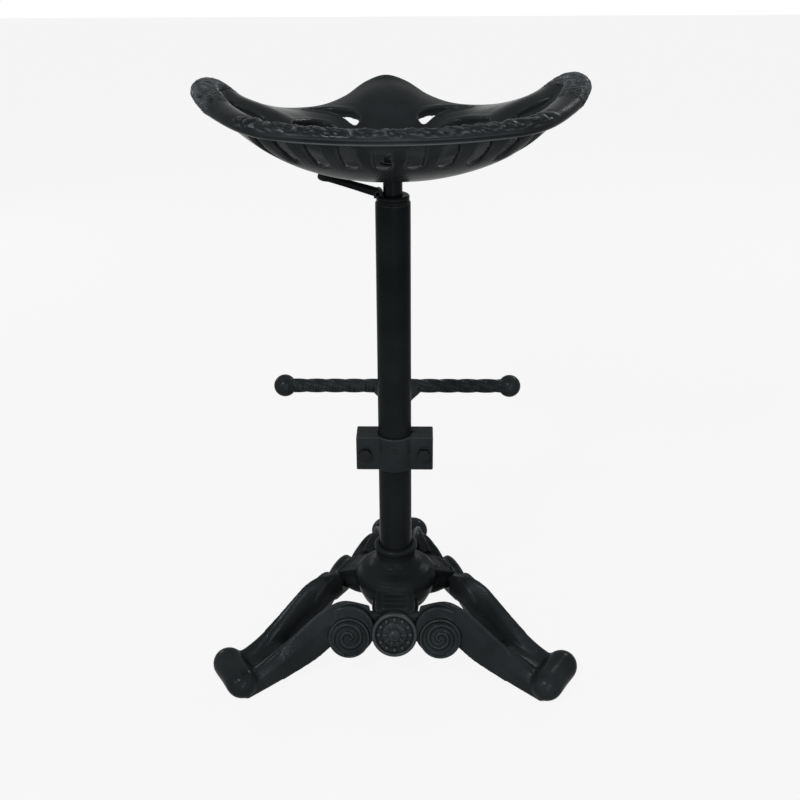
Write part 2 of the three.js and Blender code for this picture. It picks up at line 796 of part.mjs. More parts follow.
function makePan() {
  const padTop = seatBottom + panThickness;
  const tools = [post(pivotHole, seatBottom - overrun, padTop + overrun, smallSides)];
  for (const shares of Object.values(openingShares)) {
    tools.push(panOpening(shares, 1), panOpening(shares, -1));
  }
  for (let i = 0; i < slotCount; i += 1) {
    tools.push(wallSlot((i - (slotCount - 1) / 2) * slotSpacing));
  }
  return toGeometry(cut(join([makeShell(), makeRim()]), tools));
}

const seat = new THREE.Group();
seat.rotation.z = seatTurn;
stool.add(seat);
addPiece(seat, 'seat_pan', makePan(), castPaint);

// Pivot bolt and its washer, on the pan's floor.
// The head's outline is given as shares of its radius and of its height.
const pivotHeadShares = [[0, 0], [1, 0], [1, 0.3], [0.78, 0.7], [0.45, 0.93], [0, 1]];

const seatWasher = ring(pivotHole, seatWasherRadius, seatWasherLow, seatWasherHigh);
addPiece(stool, 'seat_washer', seatWasher, darkSteel);

function makePivotBolt() {
  const foot = seatWasherHigh + clearance;
  const head = pivotHeadShares.map(([out, up]) => [out * pivotHeadRadius, foot + up * pivotHeadHeight]);
  const shank = post(pivotRadius, stemTop - pivotDepth + pivotEndGap, foot + sink, smallSides);
  return toGeometry(join([shank, turned(head, middleSides)]));
}

addPiece(stool, 'pivot_bolt', makePivotBolt(), darkSteel);

// Footrest: everything from here on is clamped to the column and moves with the clamp.
// One clamp half is two ears and half a sleeve. side is -1 for the rear and 1 for the front.
function clampHalf(side) {
  const split = side * clampSplit / 2;
  const past = sleeveRadius + overrun;
  const ears = block([-clampHalfWidth, split, clampLow], [clampHalfWidth, side * clampHalfDepth, clampHigh]);
  const keep = block([-past, split, clampLow - overrun], [past, side * past, clampHigh + overrun]);
  const sleeve = toSolid(post(sleeveRadius, clampLow, clampHigh, fullSides)).intersect(toSolid(keep));
  return toSolid(ears).add(sleeve);
}

// Turns an upright shape down along Y at the height of the clamp's middle
function acrossClamp(geometry, x = 0, rise = 0) {
  return geometry.rotateX(Math.PI / 2).translate(x, 0, clampCentre + rise);
}

function clampHoles() {
  const past = clampHalfDepth + overrun;
  const bolts = [-1, 1].map((side) => acrossClamp(
    post(clampBoltRadius + clearance, -past, past, smallSides),
    side * clampBoltPlace,
  ));
  return [post(clampBore, clampLow - overrun, clampHigh + overrun, fullSides), ...bolts];
}

const setScrewHole = acrossClamp(
  post(setScrewRadius + clearance, 0, sleeveRadius + overrun, fineSides), 0, setScrewRise,
);
const rearHalf = cut(clampHalf(-1), [...clampHoles(), setScrewHole]);
addPiece(stool, 'clamp_rear', toGeometry(rearHalf), castPaint);

const setScrew = post(setScrewRadius, clampBore, sleeveRadius + sink, fineSides);
addPiece(stool, 'clamp_set_screw', acrossClamp(setScrew, 0, setScrewRise), darkSteel);

// Bracket: the clamp's front half with an arm that rises and flares to the bar
function makeArmPlate() {
  const root = clampHalfDepth - 2 * sink;
  const slope = Math.atan2(barHeight - clampCentre, barReach - root);
  const flare = flareShares.map(([out, along]) => [
    armHalfWidth + out * (flareHalfWidth - armHalfWidth),
    (along * barReach - root) / Math.cos(slope),
  ]);
  const edge = [[armHalfWidth, 0], ...flare];
  const outline = [...edge, ...edge.map(([x, y]) => [-x, y]).reverse()];
  const plate = prism(outline, -armThickness / 2, armThickness / 2);
  return plate.rotateX(slope).translate(0, root, clampCentre);
}

function makeBracket() {
  const past = flareHalfWidth + overrun;
  const saddle = post(saddleRadius + clearance, -past, past)
    .rotateY(Math.PI / 2)
    .translate(0, barReach, barHeight);
  const body = clampHalf(1).add(toSolid(makeArmPlate()));
  return toGeometry(cut(body, [...clampHoles(), saddle]));
}

addPiece(stool, 'footrest_bracket', makeBracket(), castPaint);

// Clamp bolts with their heads at the rear, and nuts at the front
function makeClampBolt() {
  const shankEnd = -clampFace - clampNutHeight - boltEnd;
  const shank = post(clampBoltRadius, shankEnd, clampFace + sink, smallSides);
  return toGeometry(join([shank, hexagon(clampBoltFlats, clampFace, clampFace + clampHeadHeight)]));
}

function makeClampNut() {
  const body = hexagon(clampBoltFlats, -clampFace - clampNutHeight, -clampFace);
  const bore = post(clampBoltRadius + clearance, -2 * clampFace, 0, smallSides);
  return toGeometry(cut(toSolid(body), [bore]));
}

for (const [name, side] of [['left', -1], ['right', 1]]) {
  const x = side * clampBoltPlace;
  addPiece(stool, `clamp_bolt_${name}`, acrossClamp(makeClampBolt(), x), darkSteel);
  addPiece(stool, `clamp_nut_${name}`, acrossClamp(makeClampNut(), x), darkSteel);
}

// Bar: a square rod twisted along its length, with a round spigot in each end's ball
function makeBar() {
  const flat = barSide / 2 * barFlatShare;
  const corner = barSide / 2 * barCornerShare;
  const section = [
    [corner, flat], [flat, corner], [-flat, corner], [-corner, flat],
    [-corner, -flat], [-flat, -corner], [flat, -corner], [corner, -flat],
  ];
  const rings = [];
  for (let i = 0; i <= barTwistSteps; i += 1) {
    const share = i / barTwistSteps;
    const x = ballInset * (2 * share - 1);
    const c = Math.cos(share * barTwists * 2 * Math.PI);
    const s = Math.sin(share * barTwists * 2 * Math.PI);
    rings.push(section.map(([y, z]) => new THREE.Vector3(x, y * c - z * s, y * s + z * c)));
  }
  const spigot = post(spigotRadius, -barHalfLength, barHalfLength, fineSides).rotateY(Math.PI / 2);
  return toGeometry(join([loft(rings), spigot])).translate(0, barReach, barHeight);
}

addPiece(stool, 'footrest_bar', makeBar(), castPaint);

// Balls: each is cut flat where it meets the bar and bored for the bar's spigot. side is -1 or 1.
function makeBall(side) {
  const ball = new THREE.SphereGeometry(ballRadius, smallSides, fineSides).translate(barHalfLength, 0, 0);
  const trim = block([0, -ballRadius, -ballRadius], [ballInset + clearance, ballRadius, ballRadius]);
  const hole = post(spigotRadius + clearance, 0, barHalfLength + clearance, fineSides);
  const body = cut(toSolid(ball), [trim, hole.rotateY(Math.PI / 2)]);
  return toGeometry(body).rotateZ(side < 0 ? Math.PI : 0).translate(0, barReach, barHeight);
}

addPiece(stool, 'ball_left', makeBall(-1), castPaint);
addPiece(stool, 'ball_right', makeBall(1), castPaint);

// The origin lies on the floor under the middle of the stool's outline, and not under the column
const rearReach = seatRear + rimRadius;
const frontReach = footRadius + toeRadius;
stool.position.y = (rearReach - frontReach) / 2;

export default stool;
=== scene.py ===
import math
import bmesh
import bpy
from mathutils import Matrix, Vector, noise
from mathutils.bvhtree import BVHTree


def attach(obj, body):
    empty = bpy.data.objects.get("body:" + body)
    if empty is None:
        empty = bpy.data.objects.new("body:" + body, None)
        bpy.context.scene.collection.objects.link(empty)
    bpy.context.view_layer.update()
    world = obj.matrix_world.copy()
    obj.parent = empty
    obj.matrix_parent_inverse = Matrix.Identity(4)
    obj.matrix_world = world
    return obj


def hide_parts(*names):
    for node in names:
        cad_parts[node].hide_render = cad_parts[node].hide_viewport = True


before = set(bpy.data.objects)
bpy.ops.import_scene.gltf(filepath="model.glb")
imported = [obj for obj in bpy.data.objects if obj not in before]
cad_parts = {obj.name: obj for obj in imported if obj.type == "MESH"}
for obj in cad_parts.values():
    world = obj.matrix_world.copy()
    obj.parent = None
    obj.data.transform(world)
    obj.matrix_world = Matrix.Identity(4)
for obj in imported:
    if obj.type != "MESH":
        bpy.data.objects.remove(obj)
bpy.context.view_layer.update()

# The room: a plain white floor under a white surround, with six soft lamps. White is what the camera
# and the gloss see; the surround itself lights the stool at a lower level. The camera stands where the
# photograph was taken from, behind the stool and above it.
column_place = Vector((0, -0.0273, 0))
camera_turn = math.radians(1.5)
camera_distance = 1.24
camera_height = 0.89
camera_pitch = math.radians(23.7)
camera_roll = -0.0081

camera_data = bpy.data.cameras.new("camera")
camera_data.lens = 54
camera_data.sensor_width = 36
camera_data.shift_x = 0.0071
camera_data.shift_y = -0.0288
camera = bpy.data.objects.new("camera", camera_data)
bpy.context.scene.collection.objects.link(camera)
camera.matrix_world = (
    Matrix.Translation(column_place)
    @ Matrix.Rotation(camera_turn, 4, "Z")
    @ Matrix.Translation((0, -camera_distance, camera_height))
    @ Matrix.Rotation(math.pi / 2 - camera_pitch, 4, "X")
    @ Matrix.Rotation(camera_roll, 4, "Z")
)
bpy.context.scene.camera = camera
bpy.context.scene.view_settings.view_transform = "Standard"


def seen_rays(nodes, links):
    """1 for a ray that the camera, a reflection or clear glass sees, 0 for one that lights the stool."""
    rays = nodes.new("ShaderNodeLightPath")
    total = rays.outputs["Is Camera Ray"]
    for kind in ("Is Glossy Ray", "Is Transmission Ray"):
        either = nodes.new("ShaderNodeMath")
        either.operation = "MAXIMUM"
        links.new(total, either.inputs[0])
        links.new(rays.outputs[kind], either.inputs[1])
        total = either.outputs[0]
    return total


surround_light = 0.2
surround = bpy.data.worlds.new("white_surround")
surround.use_nodes = True
bpy.context.scene.world = surround
nodes = surround.node_tree.nodes
links = surround.node_tree.links
strength = nodes.new("ShaderNodeMapRange")
strength.inputs["To Min"].default_value = surround_light
strength.inputs["To Max"].default_value = 1
links.new(seen_rays(nodes, links), strength.inputs["Value"])
nodes["Background"].inputs["Color"].default_value = (1, 1, 1, 1)
links.new(strength.outputs["Result"], nodes["Background"].inputs["Strength"])

floor_half = 6
floor_glow = 0.9
shape = bmesh.new()
bmesh.ops.create_grid(shape, x_segments=1, y_segments=1, size=floor_half)
floor_mesh = bpy.data.meshes.new("floor")
shape.to_mesh(floor_mesh)
shape.free()
floor = bpy.data.objects.new("floor", floor_mesh)
bpy.context.scene.collection.objects.link(floor)

floor_white = bpy.data.materials.new("floor_white")
floor_white.use_nodes = True
floor_mesh.materials.append(floor_white)
nodes = floor_white.node_tree.nodes
links = floor_white.node_tree.links
nodes.remove(nodes["Principled BSDF"])
matt = nodes.new("ShaderNodeBsdfDiffuse")
matt.inputs["Color"].default_value = (0.5, 0.5, 0.5, 1)
glow = nodes.new("ShaderNodeEmission")
glow.inputs["Color"].default_value = (1, 1, 1, 1)
share = nodes.new("ShaderNodeMath")
share.operation = "MULTIPLY"
share.inputs[1].default_value = floor_glow
links.new(seen_rays(nodes, links), share.inputs[0])
mixed = nodes.new("ShaderNodeMixShader")
links.new(share.outputs[0], mixed.inputs["Fac"])
links.new(matt.outputs[0], mixed.inputs[1])
links.new(glow.outputs[0], mixed.inputs[2])
links.new(mixed.outputs[0], nodes["Material Output"].inputs["Surface"])

lamp_target = Vector((0, 0, 0.35))
for name, place, size, power in (
    ("key_lamp", (-0.85, -1.6, 1.9), 0.24, 17),
    ("side_lamp", (0.9, -2.0, 1.2), 0.35, 6),
    ("fill_lamp", (-1.6, -1.5, 1.0), 0.6, 4),
    ("low_lamp", (0.3, -2.3, 0.35), 0.3, 5.5),
    ("front_lamp", (1.3, 1.9, 1.5), 0.5, 14),
    ("far_lamp", (-1.5, 1.7, 0.7), 0.5, 7),
):
    lamp_data = bpy.data.lights.new(name, "AREA")
    lamp_data.size = size
    lamp_data.energy = power
    lamp = bpy.data.objects.new(name, lamp_data)
    bpy.context.scene.collection.objects.link(lamp)
    aim = (lamp_target - Vector(place)).to_track_quat("-Z", "Y")
    lamp.matrix_world = Matrix.Translation(place) @ aim.to_matrix().to_4x4()


# Hub: a cast iron bowl with a flared collar for the column and three stepped bosses. It is painted
# near-black over a sand-cast skin, so it is soft at every corner, and each boss holds a rosette.
mm = 0.001
clearance = 0.3
leg_count = 3
face_distance = 88
face_height = 57
face_tilt = math.radians(15)
rosette_thickness = 12
hub_radius = 50
hub_floor = 41
hub_waist = 94
collar_height = 129.5
bowl_shares = (
    (0, 0), (0.4, 0.03), (0.62, 0.12), (0.78, 0.3), (0.91, 0.56), (0.97, 0.78), (0.97, 0.9), (0.93, 1),
)
neck_profile = (
    (41, 98.5), (32, 102), (26, 107), (23.3, 113), (23.5, 119.5), (25.5, 124.5), (25.5, 127.5),
    (23.5, 129.5),
)
socket_radius = 19.3
socket_floor = 70.5
boss_width = 46
boss_cover = 3
step_width = 30
boss_top = 92
boss_bottom = 57
boss_steps = 4
step_run = 5.5
step_drop = 2.6
shoulder_size = (30, 28, 17)
shoulder_reach = 44
shoulder_height = 67
hub_soft_below = 91
hub_soft_beyond = 26
hub_soft_passes = 14
cast_grain = 0.9
cast_passes = 3
merge_distance = 0.0001

rosette_back = face_distance - rosette_thickness * math.cos(face_tilt)
rosette_back_height = face_height - rosette_thickness * math.sin(face_tilt)


def face_angle(i):
    """The direction of one of the base's faces; the first looks to the rear."""
    return -math.pi / 2 + i * math.tau / leg_count


def on_face(angle):
    """The place of a shape that was made about Z, with the rosette's back plane at zero."""
    return (
        Matrix.Rotation(angle, 4, "Z")
        @ Matrix.Translation((rosette_back, 0, rosette_back_height))
        @ Matrix.Rotation(math.pi / 2 - face_tilt, 4, "Y")
    )


end_ring_gap = 1.2


def spun(profile, steps=72):
    """A closed shape turned about Z from (radius, height) points.

    A long straight span gets a ring near each end, so that the lighter edge colour, for wear and painted
    highlight, stays at its edges."""
    rows = [profile[0]]
    for start, end in zip(profile, profile[1:]):
        length = math.dist(start, end)
        if length > 4 * end_ring_gap:
            share = end_ring_gap / length
            rows += [
                tuple(a + (b - a) * part for a, b in zip(start, end)) for part in (share, 1 - share)
            ]
        rows.append(end)
    shape = bmesh.new()
    points = [shape.verts.new((radius, 0, height)) for radius, height in rows]
    edges = [shape.edges.new(pair) for pair in zip(points, points[1:])]
    bmesh.ops.spin(
        shape, geom=points + edges, cent=(0, 0, 0), axis=(0, 0, 1), dvec=(0, 0, 0),
        angle=math.tau, steps=steps, use_merge=True,
    )
    bmesh.ops.remove_doubles(shape, verts=shape.verts, dist=merge_distance)
    bmesh.ops.recalc_face_normals(shape, faces=shape.faces)
    return shape


def pushed_up(outline, low, high):
    """A closed block from a flat outline of (x, y) points."""
    shape = bmesh.new()
    face = shape.faces.new([shape.verts.new((x, y, low)) for x, y in outline])
    grown = bmesh.ops.extrude_face_region(shape, geom=[face])
    moved = [item for item in grown["geom"] if isinstance(item, bmesh.types.BMVert)]
    bmesh.ops.translate(shape, verts=moved, vec=(0, 0, high - low))
    bmesh.ops.recalc_face_normals(shape, faces=shape.faces)
    return shape


def put_in(whole, part, place=Matrix.Identity(4)):
    """Adds a part's mesh to the whole at its place, and frees the part."""
    bmesh.ops.transform(part, matrix=place, verts=part.verts)
    carrier = bpy.data.meshes.new("part")
    part.to_mesh(carrier)
    part.free()
    whole.from_mesh(carrier)
    bpy.data.meshes.remove(carrier)


def cast_skin(shape, grain=cast_grain, passes=cast_passes):
    """One skin over all the shapes that were put in, soft at its corners as a casting is."""
    mesh = bpy.data.meshes.new("rough")
    shape.to_mesh(mesh)
    shape.free()
    rough = bpy.data.objects.new("rough", mesh)
    bpy.context.scene.collection.objects.link(rough)
    skin = rough.modifiers.new("skin", "REMESH")
    skin.mode = "VOXEL"
    skin.voxel_size = grain
    soft = rough.modifiers.new("soft", "SMOOTH")
    soft.factor = 0.5
    soft.iterations = passes
    bpy.context.view_layer.update()
    finished = rough.evaluated_get(bpy.context.evaluated_depsgraph_get())
    casting = bmesh.new()
    casting.from_mesh(finished.to_mesh())
    finished.to_mesh_clear()
    bpy.data.objects.remove(rough)
    bpy.data.meshes.remove(mesh)
    return casting


def soften(casting, verts, passes):
    """Smooths a part of a casting more than the rest."""
    for i in range(passes):
        bmesh.ops.smooth_vert(
            casting, verts=verts, factor=0.5, use_axis_x=True, use_axis_y=True, use_axis_z=True,
        )


def finished_piece(shape, name, body, material, replaced=()):
    """Makes a shape drawn in millimetres about the column's axis a piece of the stool."""
    bmesh.ops.scale(shape, vec=(mm, mm, mm), verts=shape.verts)
    bmesh.ops.translate(shape, vec=column_place, verts=shape.verts)
    for face in shape.faces:
        face.smooth = True
    mesh = bpy.data.meshes.new(name)
    shape.to_mesh(mesh)
    shape.free()
    mesh.materials.append(material)
    piece = bpy.data.objects.new(name, mesh)
    bpy.context.scene.collection.objects.link(piece)
    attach(piece, body)
    if replaced:
        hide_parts(*replaced)
    return piece


def make_skin_group():
    """Fine grain, broad patches, edges for wear and painted highlight and hollows for painted shade, on
    any painted or blackened surface.
    """
    group = bpy.data.node_groups.new("skin_effects", "ShaderNodeTree")
    for name, value in (
        ("Grain Scale", 500), ("Patch Scale", 18), ("Edge Start", 0.513), ("Edge End", 0.575),
        ("Hollow Start", 0.493), ("Hollow End", 0.44),
    ):
        socket = group.interface.new_socket(name, in_out="INPUT", socket_type="NodeSocketFloat")
        socket.default_value = value
    for name in ("Height", "Patches", "Edges", "Hollows"):
        group.interface.new_socket(name, in_out="OUTPUT", socket_type="NodeSocketFloat")
    nodes = group.nodes
    links = group.links
    given = nodes.new("NodeGroupInput")
    result = nodes.new("NodeGroupOutput")
    place = nodes.new("ShaderNodeTexCoord")
    grain = nodes.new("ShaderNodeTexNoise")
    grain.inputs["Detail"].default_value = 3
    patches = nodes.new("ShaderNodeTexNoise")
    patches.inputs["Detail"].default_value = 4
    for texture, name in ((grain, "Grain Scale"), (patches, "Patch Scale")):
        links.new(place.outputs["Object"], texture.inputs["Vector"])
        links.new(given.outputs[name], texture.inputs["Scale"])
    links.new(grain.outputs["Fac"], result.inputs["Height"])
    spread = nodes.new("ShaderNodeMapRange")
    spread.inputs["From Min"].default_value = 0.35
    spread.inputs["From Max"].default_value = 0.65
    links.new(patches.outputs["Fac"], spread.inputs["Value"])
    links.new(spread.outputs["Result"], result.inputs["Patches"])
    form = nodes.new("ShaderNodeNewGeometry")
    for kind in ("Edge", "Hollow"):
        found = nodes.new("ShaderNodeMapRange")
        links.new(form.outputs["Pointiness"], found.inputs["Value"])
        links.new(given.outputs[f"{kind} Start"], found.inputs["From Min"])
        links.new(given.outputs[f"{kind} End"], found.inputs["From Max"])
        links.new(found.outputs["Result"], result.inputs[f"{kind}s"])
    return group


skin_effects = make_skin_group()
# How dark the painted shade in hollows is, as a share of the dark tone.
painted_shade_share = 0.3
edge_shine = 0.6
smoother_by = 0.05
rougher_by = 0.07


def make_finish(name, dark, light, wear_and_highlight, gloss, shine, grain, relief, metallic=0.0, edge_end=0.575):
    """A finish that goes from dark to light in patches, lighter on its edges for wear and painted
    highlight, and darker in its hollows as painted shade.
    """
    finish = bpy.data.materials.new(name)
    finish.use_nodes = True
    nodes = finish.node_tree.nodes
    links = finish.node_tree.links
    surface = nodes["Principled BSDF"]
    surface.inputs["Specular IOR Level"].default_value = shine
    surface.inputs["Metallic"].default_value = metallic
    surface.inputs["Specular Tint"].default_value = (edge_shine, edge_shine, edge_shine, 1)
    effects = nodes.new("ShaderNodeGroup")
    effects.node_tree = skin_effects
    effects.inputs["Grain Scale"].default_value = grain
    effects.inputs["Edge End"].default_value = edge_end
    tone = nodes.new("ShaderNodeMix")
    tone.data_type = "RGBA"
    tone.inputs["A"].default_value = (*dark, 1)
    tone.inputs["B"].default_value = (*light, 1)
    links.new(effects.outputs["Patches"], tone.inputs["Factor"])
    # Edges get a lighter colour: partly worn paint, partly painted highlight.
    wear_and_highlight_mix = nodes.new("ShaderNodeMix")
    wear_and_highlight_mix.data_type = "RGBA"
    wear_and_highlight_mix.inputs["B"].default_value = (*wear_and_highlight, 1)
    links.new(effects.outputs["Edges"], wear_and_highlight_mix.inputs["Factor"])
    links.new(tone.outputs["Result"], wear_and_highlight_mix.inputs["A"])
    # Hollows get a darker colour: painted shade.
    shaded = nodes.new("ShaderNodeMix")
    shaded.data_type = "RGBA"
    shaded.inputs["B"].default_value = (*(part * painted_shade_share for part in dark), 1)
    links.new(effects.outputs["Hollows"], shaded.inputs["Factor"])
    links.new(wear_and_highlight_mix.outputs["Result"], shaded.inputs["A"])
    links.new(shaded.outputs["Result"], surface.inputs["Base Color"])
    rough = nodes.new("ShaderNodeMapRange")
    rough.inputs["To Min"].default_value = gloss - smoother_by
    rough.inputs["To Max"].default_value = gloss + rougher_by
    links.new(effects.outputs["Patches"], rough.inputs["Value"])
    links.new(rough.outputs["Result"], surface.inputs["Roughness"])
    bump = nodes.new("ShaderNodeBump")
    bump.inputs["Strength"].default_value = relief
    bump.inputs["Distance"].default_value = 0.0006
    links.new(effects.outputs["Height"], bump.inputs["Height"])
    links.new(bump.outputs["Normal"], surface.inputs["Normal"])
    return finish


paint_dark = (0.019, 0.0222, 0.0238)
paint_light = (0.029, 0.0333, 0.0355)
cast_paint = make_finish(
    "cast_paint", paint_dark, paint_light, (0.06, 0.066, 0.07),
    gloss=0.24, shine=0.008, grain=420, relief=0.25, metallic=0.2,
)
# The hub's finish is a darker copy of the cast paint: painted shade for the hub, which lies in the seat's
# shadow.
hub_shaded_paint = make_finish(
    "hub_shaded_paint", (0.012, 0.0143, 0.0152), (0.019, 0.0224, 0.0237), (0.045, 0.05, 0.053),
    gloss=0.28, shine=0.008, grain=420, relief=0.25, metallic=0.15,
)
bowl = [(out * hub_radius, hub_floor + up * (hub_waist - hub_floor)) for out, up in bowl_shares]
socket = [(socket_radius, collar_height), (socket_radius, socket_floor), (0, socket_floor)]
hub = spun([*bowl, *neck_profile, *socket])
boss_foot = rosette_back - clearance / math.cos(face_tilt)


def boss_end(height):
    """How far out a boss reaches at a height, up to the back of its rosette."""
    return boss_foot - (height - rosette_back_height) * math.tan(face_tilt)


steps = [(0, boss_bottom), (0, boss_top)]
for i in range(boss_steps):
    steps.append((hub_radius + (i - 1) * step_run, boss_top - i * step_drop))
    steps.append((hub_radius + (i - 1) * step_run, boss_top - (i + 1) * step_drop))
last_step = boss_top - boss_steps * step_drop
steps += [(boss_end(last_step), last_step), (boss_end(boss_bottom), boss_bottom)]
wedge = [
    (0, boss_bottom), (0, boss_top - boss_cover), (hub_radius - step_run, boss_top - boss_cover),
    (boss_end(last_step), last_step - boss_cover), (boss_end(boss_bottom), boss_bottom),
]
upright = Matrix.Rotation(math.pi / 2, 4, "X")
for i in range(leg_count):
    turn = Matrix.Rotation(face_angle(i), 4, "Z")
    put_in(hub, pushed_up(steps, -step_width / 2, step_width / 2), turn @ upright)
    put_in(hub, pushed_up(wedge, -boss_width / 2, boss_width / 2), turn @ upright)
    shoulder = bmesh.new()
    bmesh.ops.create_icosphere(shoulder, subdivisions=4, radius=1)
    bmesh.ops.scale(shoulder, vec=shoulder_size, verts=shoulder.verts)
    put_in(hub, shoulder, turn @ Matrix.Translation((shoulder_reach, 0, shoulder_height)))
hub = cast_skin(hub)
soft = [
    vert for vert in hub.verts
    if vert.co.z < hub_soft_below and math.hypot(vert.co.x, vert.co.y) > hub_soft_beyond
]
soften(hub, soft, hub_soft_passes)
finished_piece(hub, "hub_casting", "base", hub_shaded_paint, ["base_hub"])


# Rosettes: cast discs on the bosses, each with a raised rim, a ring of beads in its dish, a star of
# petals and a domed screw in the middle that draws the disc and the legs' ears to the hub. Their
# raised edges are lighter than the rest: partly paint rubbed by hands and feet, partly painted highlight.
rosette_paint = make_finish(
    "rosette_paint", paint_dark, paint_light, (0.085, 0.092, 0.098),
    gloss=0.24, shine=0.008, grain=420, relief=0.25, metallic=0.22,
)
rosette_profile = (
    (0, 0.5), (24.5, 0.5), (26.1, 1.6), (26.5, 3.2), (26.5, 9.6), (26, 11.2), (24.8, 12), (23.6, 12),
    (22.4, 11.4), (21.8, 9.4), (20.8, 8.9), (15.2, 8.9), (14.2, 9.6), (13, 10.4), (9.8, 10.8), (0, 10.8),
)
bead_count = 12
bead_circle = 18.4
bead_radius = 2.5
bead_height = 9.2
petal_count = 10
petal_circle = 11
petal_size = (3.4, 1.5, 1.3)
petal_height = 10.9
dome_profile = ((0, 9), (7.4, 9), (7.8, 11.6), (7, 13.4), (5.2, 15.2), (3, 16.1), (1.4, 16.4), (0, 16.4))

for name, i in (("rear", 0), ("front_right", 1), ("front_left", 2)):
    rosette = spun(rosette_profile)
    for k in range(bead_count):
        bead = bmesh.new()
        bmesh.ops.create_icosphere(bead, subdivisions=3, radius=bead_radius)
        turn = Matrix.Rotation(math.pi + k * math.tau / bead_count, 4, "Z")
        put_in(rosette, bead, turn @ Matrix.Translation((bead_circle, 0, bead_height)))
    for k in range(petal_count):
        petal = bmesh.new()
        bmesh.ops.create_icosphere(petal, subdivisions=3, radius=1)
        bmesh.ops.scale(petal, vec=petal_size, verts=petal.verts)
        turn = Matrix.Rotation((k + 0.5) * math.tau / petal_count, 4, "Z")
        put_in(rosette, petal, turn @ Matrix.Translation((petal_circle, 0, petal_height)))
    bmesh.ops.transform(rosette, matrix=on_face(face_angle(i)), verts=rosette.verts)
    finished_piece(
        rosette, f"rosette_disc_{name}", "base", rosette_paint, [f"rosette_{name}"],
    )
    dome = spun(dome_profile)
    bmesh.ops.transform(dome, matrix=on_face(face_angle(i)), verts=dome.verts)
    finished_piece(
        dome, f"rosette_dome_{name}", "base", rosette_paint, [f"rosette_screw_{name}"],
    )


# Legs: cast iron forks. Two arms leave two neighbouring faces of the base, each from a rolled scroll
# with a rimmed button and a raised volute, and meet at one rolled toe that stands on the floor. An ear
# beside each scroll lies behind a rosette, whose screw holds it to the hub.
foot_radius = 213
arm_stations = (
    (58, 48, 28, 57, 82), (84, 38, 17, 54, 91), (106, 35, 14, 36, 87), (124, 32, 11.5, 23, 76),
    (150, 30, 7, 12.5, 56.5), (175, 30, 0, 5, 39.5), (197, 32, -2, 1.5, 28), (213, 36, -2, 1, 26),
)
arm_section_shares = (
    (0.1, 0), (0.94, 0), (1, 0.2), (0.97, 0.62), (0.72, 1), (0.6, 1), (0.47, 0.95), (0.35, 0.87),
    (0.24, 0.77), (0.14, 0.64), (0.06, 0.49), (0.01, 0.32), (0.02, 0.12),
)
arm_steps = 36
web_stations = ((138, 7, 22, 32), (155, 9, 13, 37), (175, 8, 8, 29), (200, 8, 4, 22))
web_steps = 12
scroll_spacing = 53
scroll_lift = 3.5
button_drop = 7.5
drum_profile = (
    (0, -21), (28.6, -21), (29.8, -19.8), (29.8, -5.6), (28.6, -4), (0, -4),
)
button_profile = (
    (0, -6), (24, -6), (24, -1), (23.6, -0.2), (22.8, 0.2), (21.8, 0), (20.8, -1.6), (20, -2.4), (0, -2.4),
)
volute_radius = 20.6
volute_start = 1.4
volute_turns = 1.95
volute_steps = 110
volute_half_width = 2.2
volute_start_share = 0.55
volute_sides = 8
volute_rise = 2.3
volute_floor = -2.2
toe_radius = 18.6
toe_half_length = 39
toe_end_length = 20
toe_waist_share = 0.975
toe_height = 17.4
toe_steps = 12
toe_soft_from = 165
toe_soft_passes = 26
ear_top = 23
ear_bottom = 13
ear_thickness = 12
ear_rounding = 4
ear_share = 0.6


def smooth_row(rows, share, closed=False):
    """A row of sizes at a share of the way along a smooth line, or loop, through all the rows."""
    spans = len(rows) if closed else len(rows) - 1
    place = share * spans
    i = min(int(place), spans - 1)
    t = place - i
    near = [i + k if closed else min(max(i + k, 0), spans) for k in (-1, 0, 1, 2)]
    before, start, end, after = (rows[k % len(rows)] for k in near)
    return [
        b + 0.5 * t * (c - a + t * (2 * a - 5 * b + 4 * c - d + t * (3 * (b - c) + d - a)))
        for a, b, c, d in zip(before, start, end, after)
    ]


def grown_along(rings):
    """A closed shape that grows from its first ring of points through all the others."""
    shape = bmesh.new()
    end = shape.faces.new([shape.verts.new(point) for point in rings[0]])
    for ring in rings[1:]:
        grown = bmesh.ops.extrude_face_region(shape, geom=[end])
        end = next(item for item in grown["geom"] if isinstance(item, bmesh.types.BMFace))
        for vert, point in zip(end.verts, ring):
            vert.co = point
    bmesh.ops.recalc_face_normals(shape, faces=shape.faces)
    return shape


def make_arm(side):
    """One arm of a leg that runs along x: its section changes from the scroll to the toe."""
    rings = []
    for step in range(arm_steps + 1):
        x, outer, inner, low, high = smooth_row(arm_stations, step / arm_steps)
        rings.append([
            (x, side * (inner + across * (outer - inner)), low + up * (high - low))
            for across, up in arm_section_shares
        ])
    return grown_along(rings)


def make_web():
    """The thin floor between the arms of a leg, from its fork to its toe."""
    rings = []
    for step in range(web_steps + 1):
        x, half, low, high = smooth_row(web_stations, step / web_steps)
        rings.append([(x, -half, low), (x, half, low), (x, half, high), (x, -half, high)])
    return grown_along(rings)


def make_volute(hand):
    """A round bead that winds outwards on a button, to the left or to the right."""
    rings = []
    for step in range(volute_steps + 1):
        share = step / volute_steps
        angle = hand * share * volute_turns * math.tau
        radius = volute_start + (volute_radius - volute_start) * share
        half = volute_half_width * min(1, volute_start_share + share)
        out = Vector((math.cos(angle), math.sin(angle), 0))
        rings.append([
            out * (radius + half * math.cos(k * math.tau / volute_sides))
            + Vector((0, 0, volute_floor + volute_rise * math.sin(k * math.tau / volute_sides)))
            for k in range(volute_sides)
        ])
    return grown_along(rings)


straight = toe_half_length - toe_end_length
toe_profile = [(0, -toe_half_length)]
for k in range(1, toe_steps + 1):
    angle = math.pi / 2 * (1 - k / toe_steps)
    toe_profile.append((toe_radius * math.cos(angle), -straight - toe_end_length * math.sin(angle)))
toe_profile.append((toe_radius * toe_waist_share, 0))
toe_profile += [(radius, -along) for radius, along in reversed(toe_profile[:-1])]


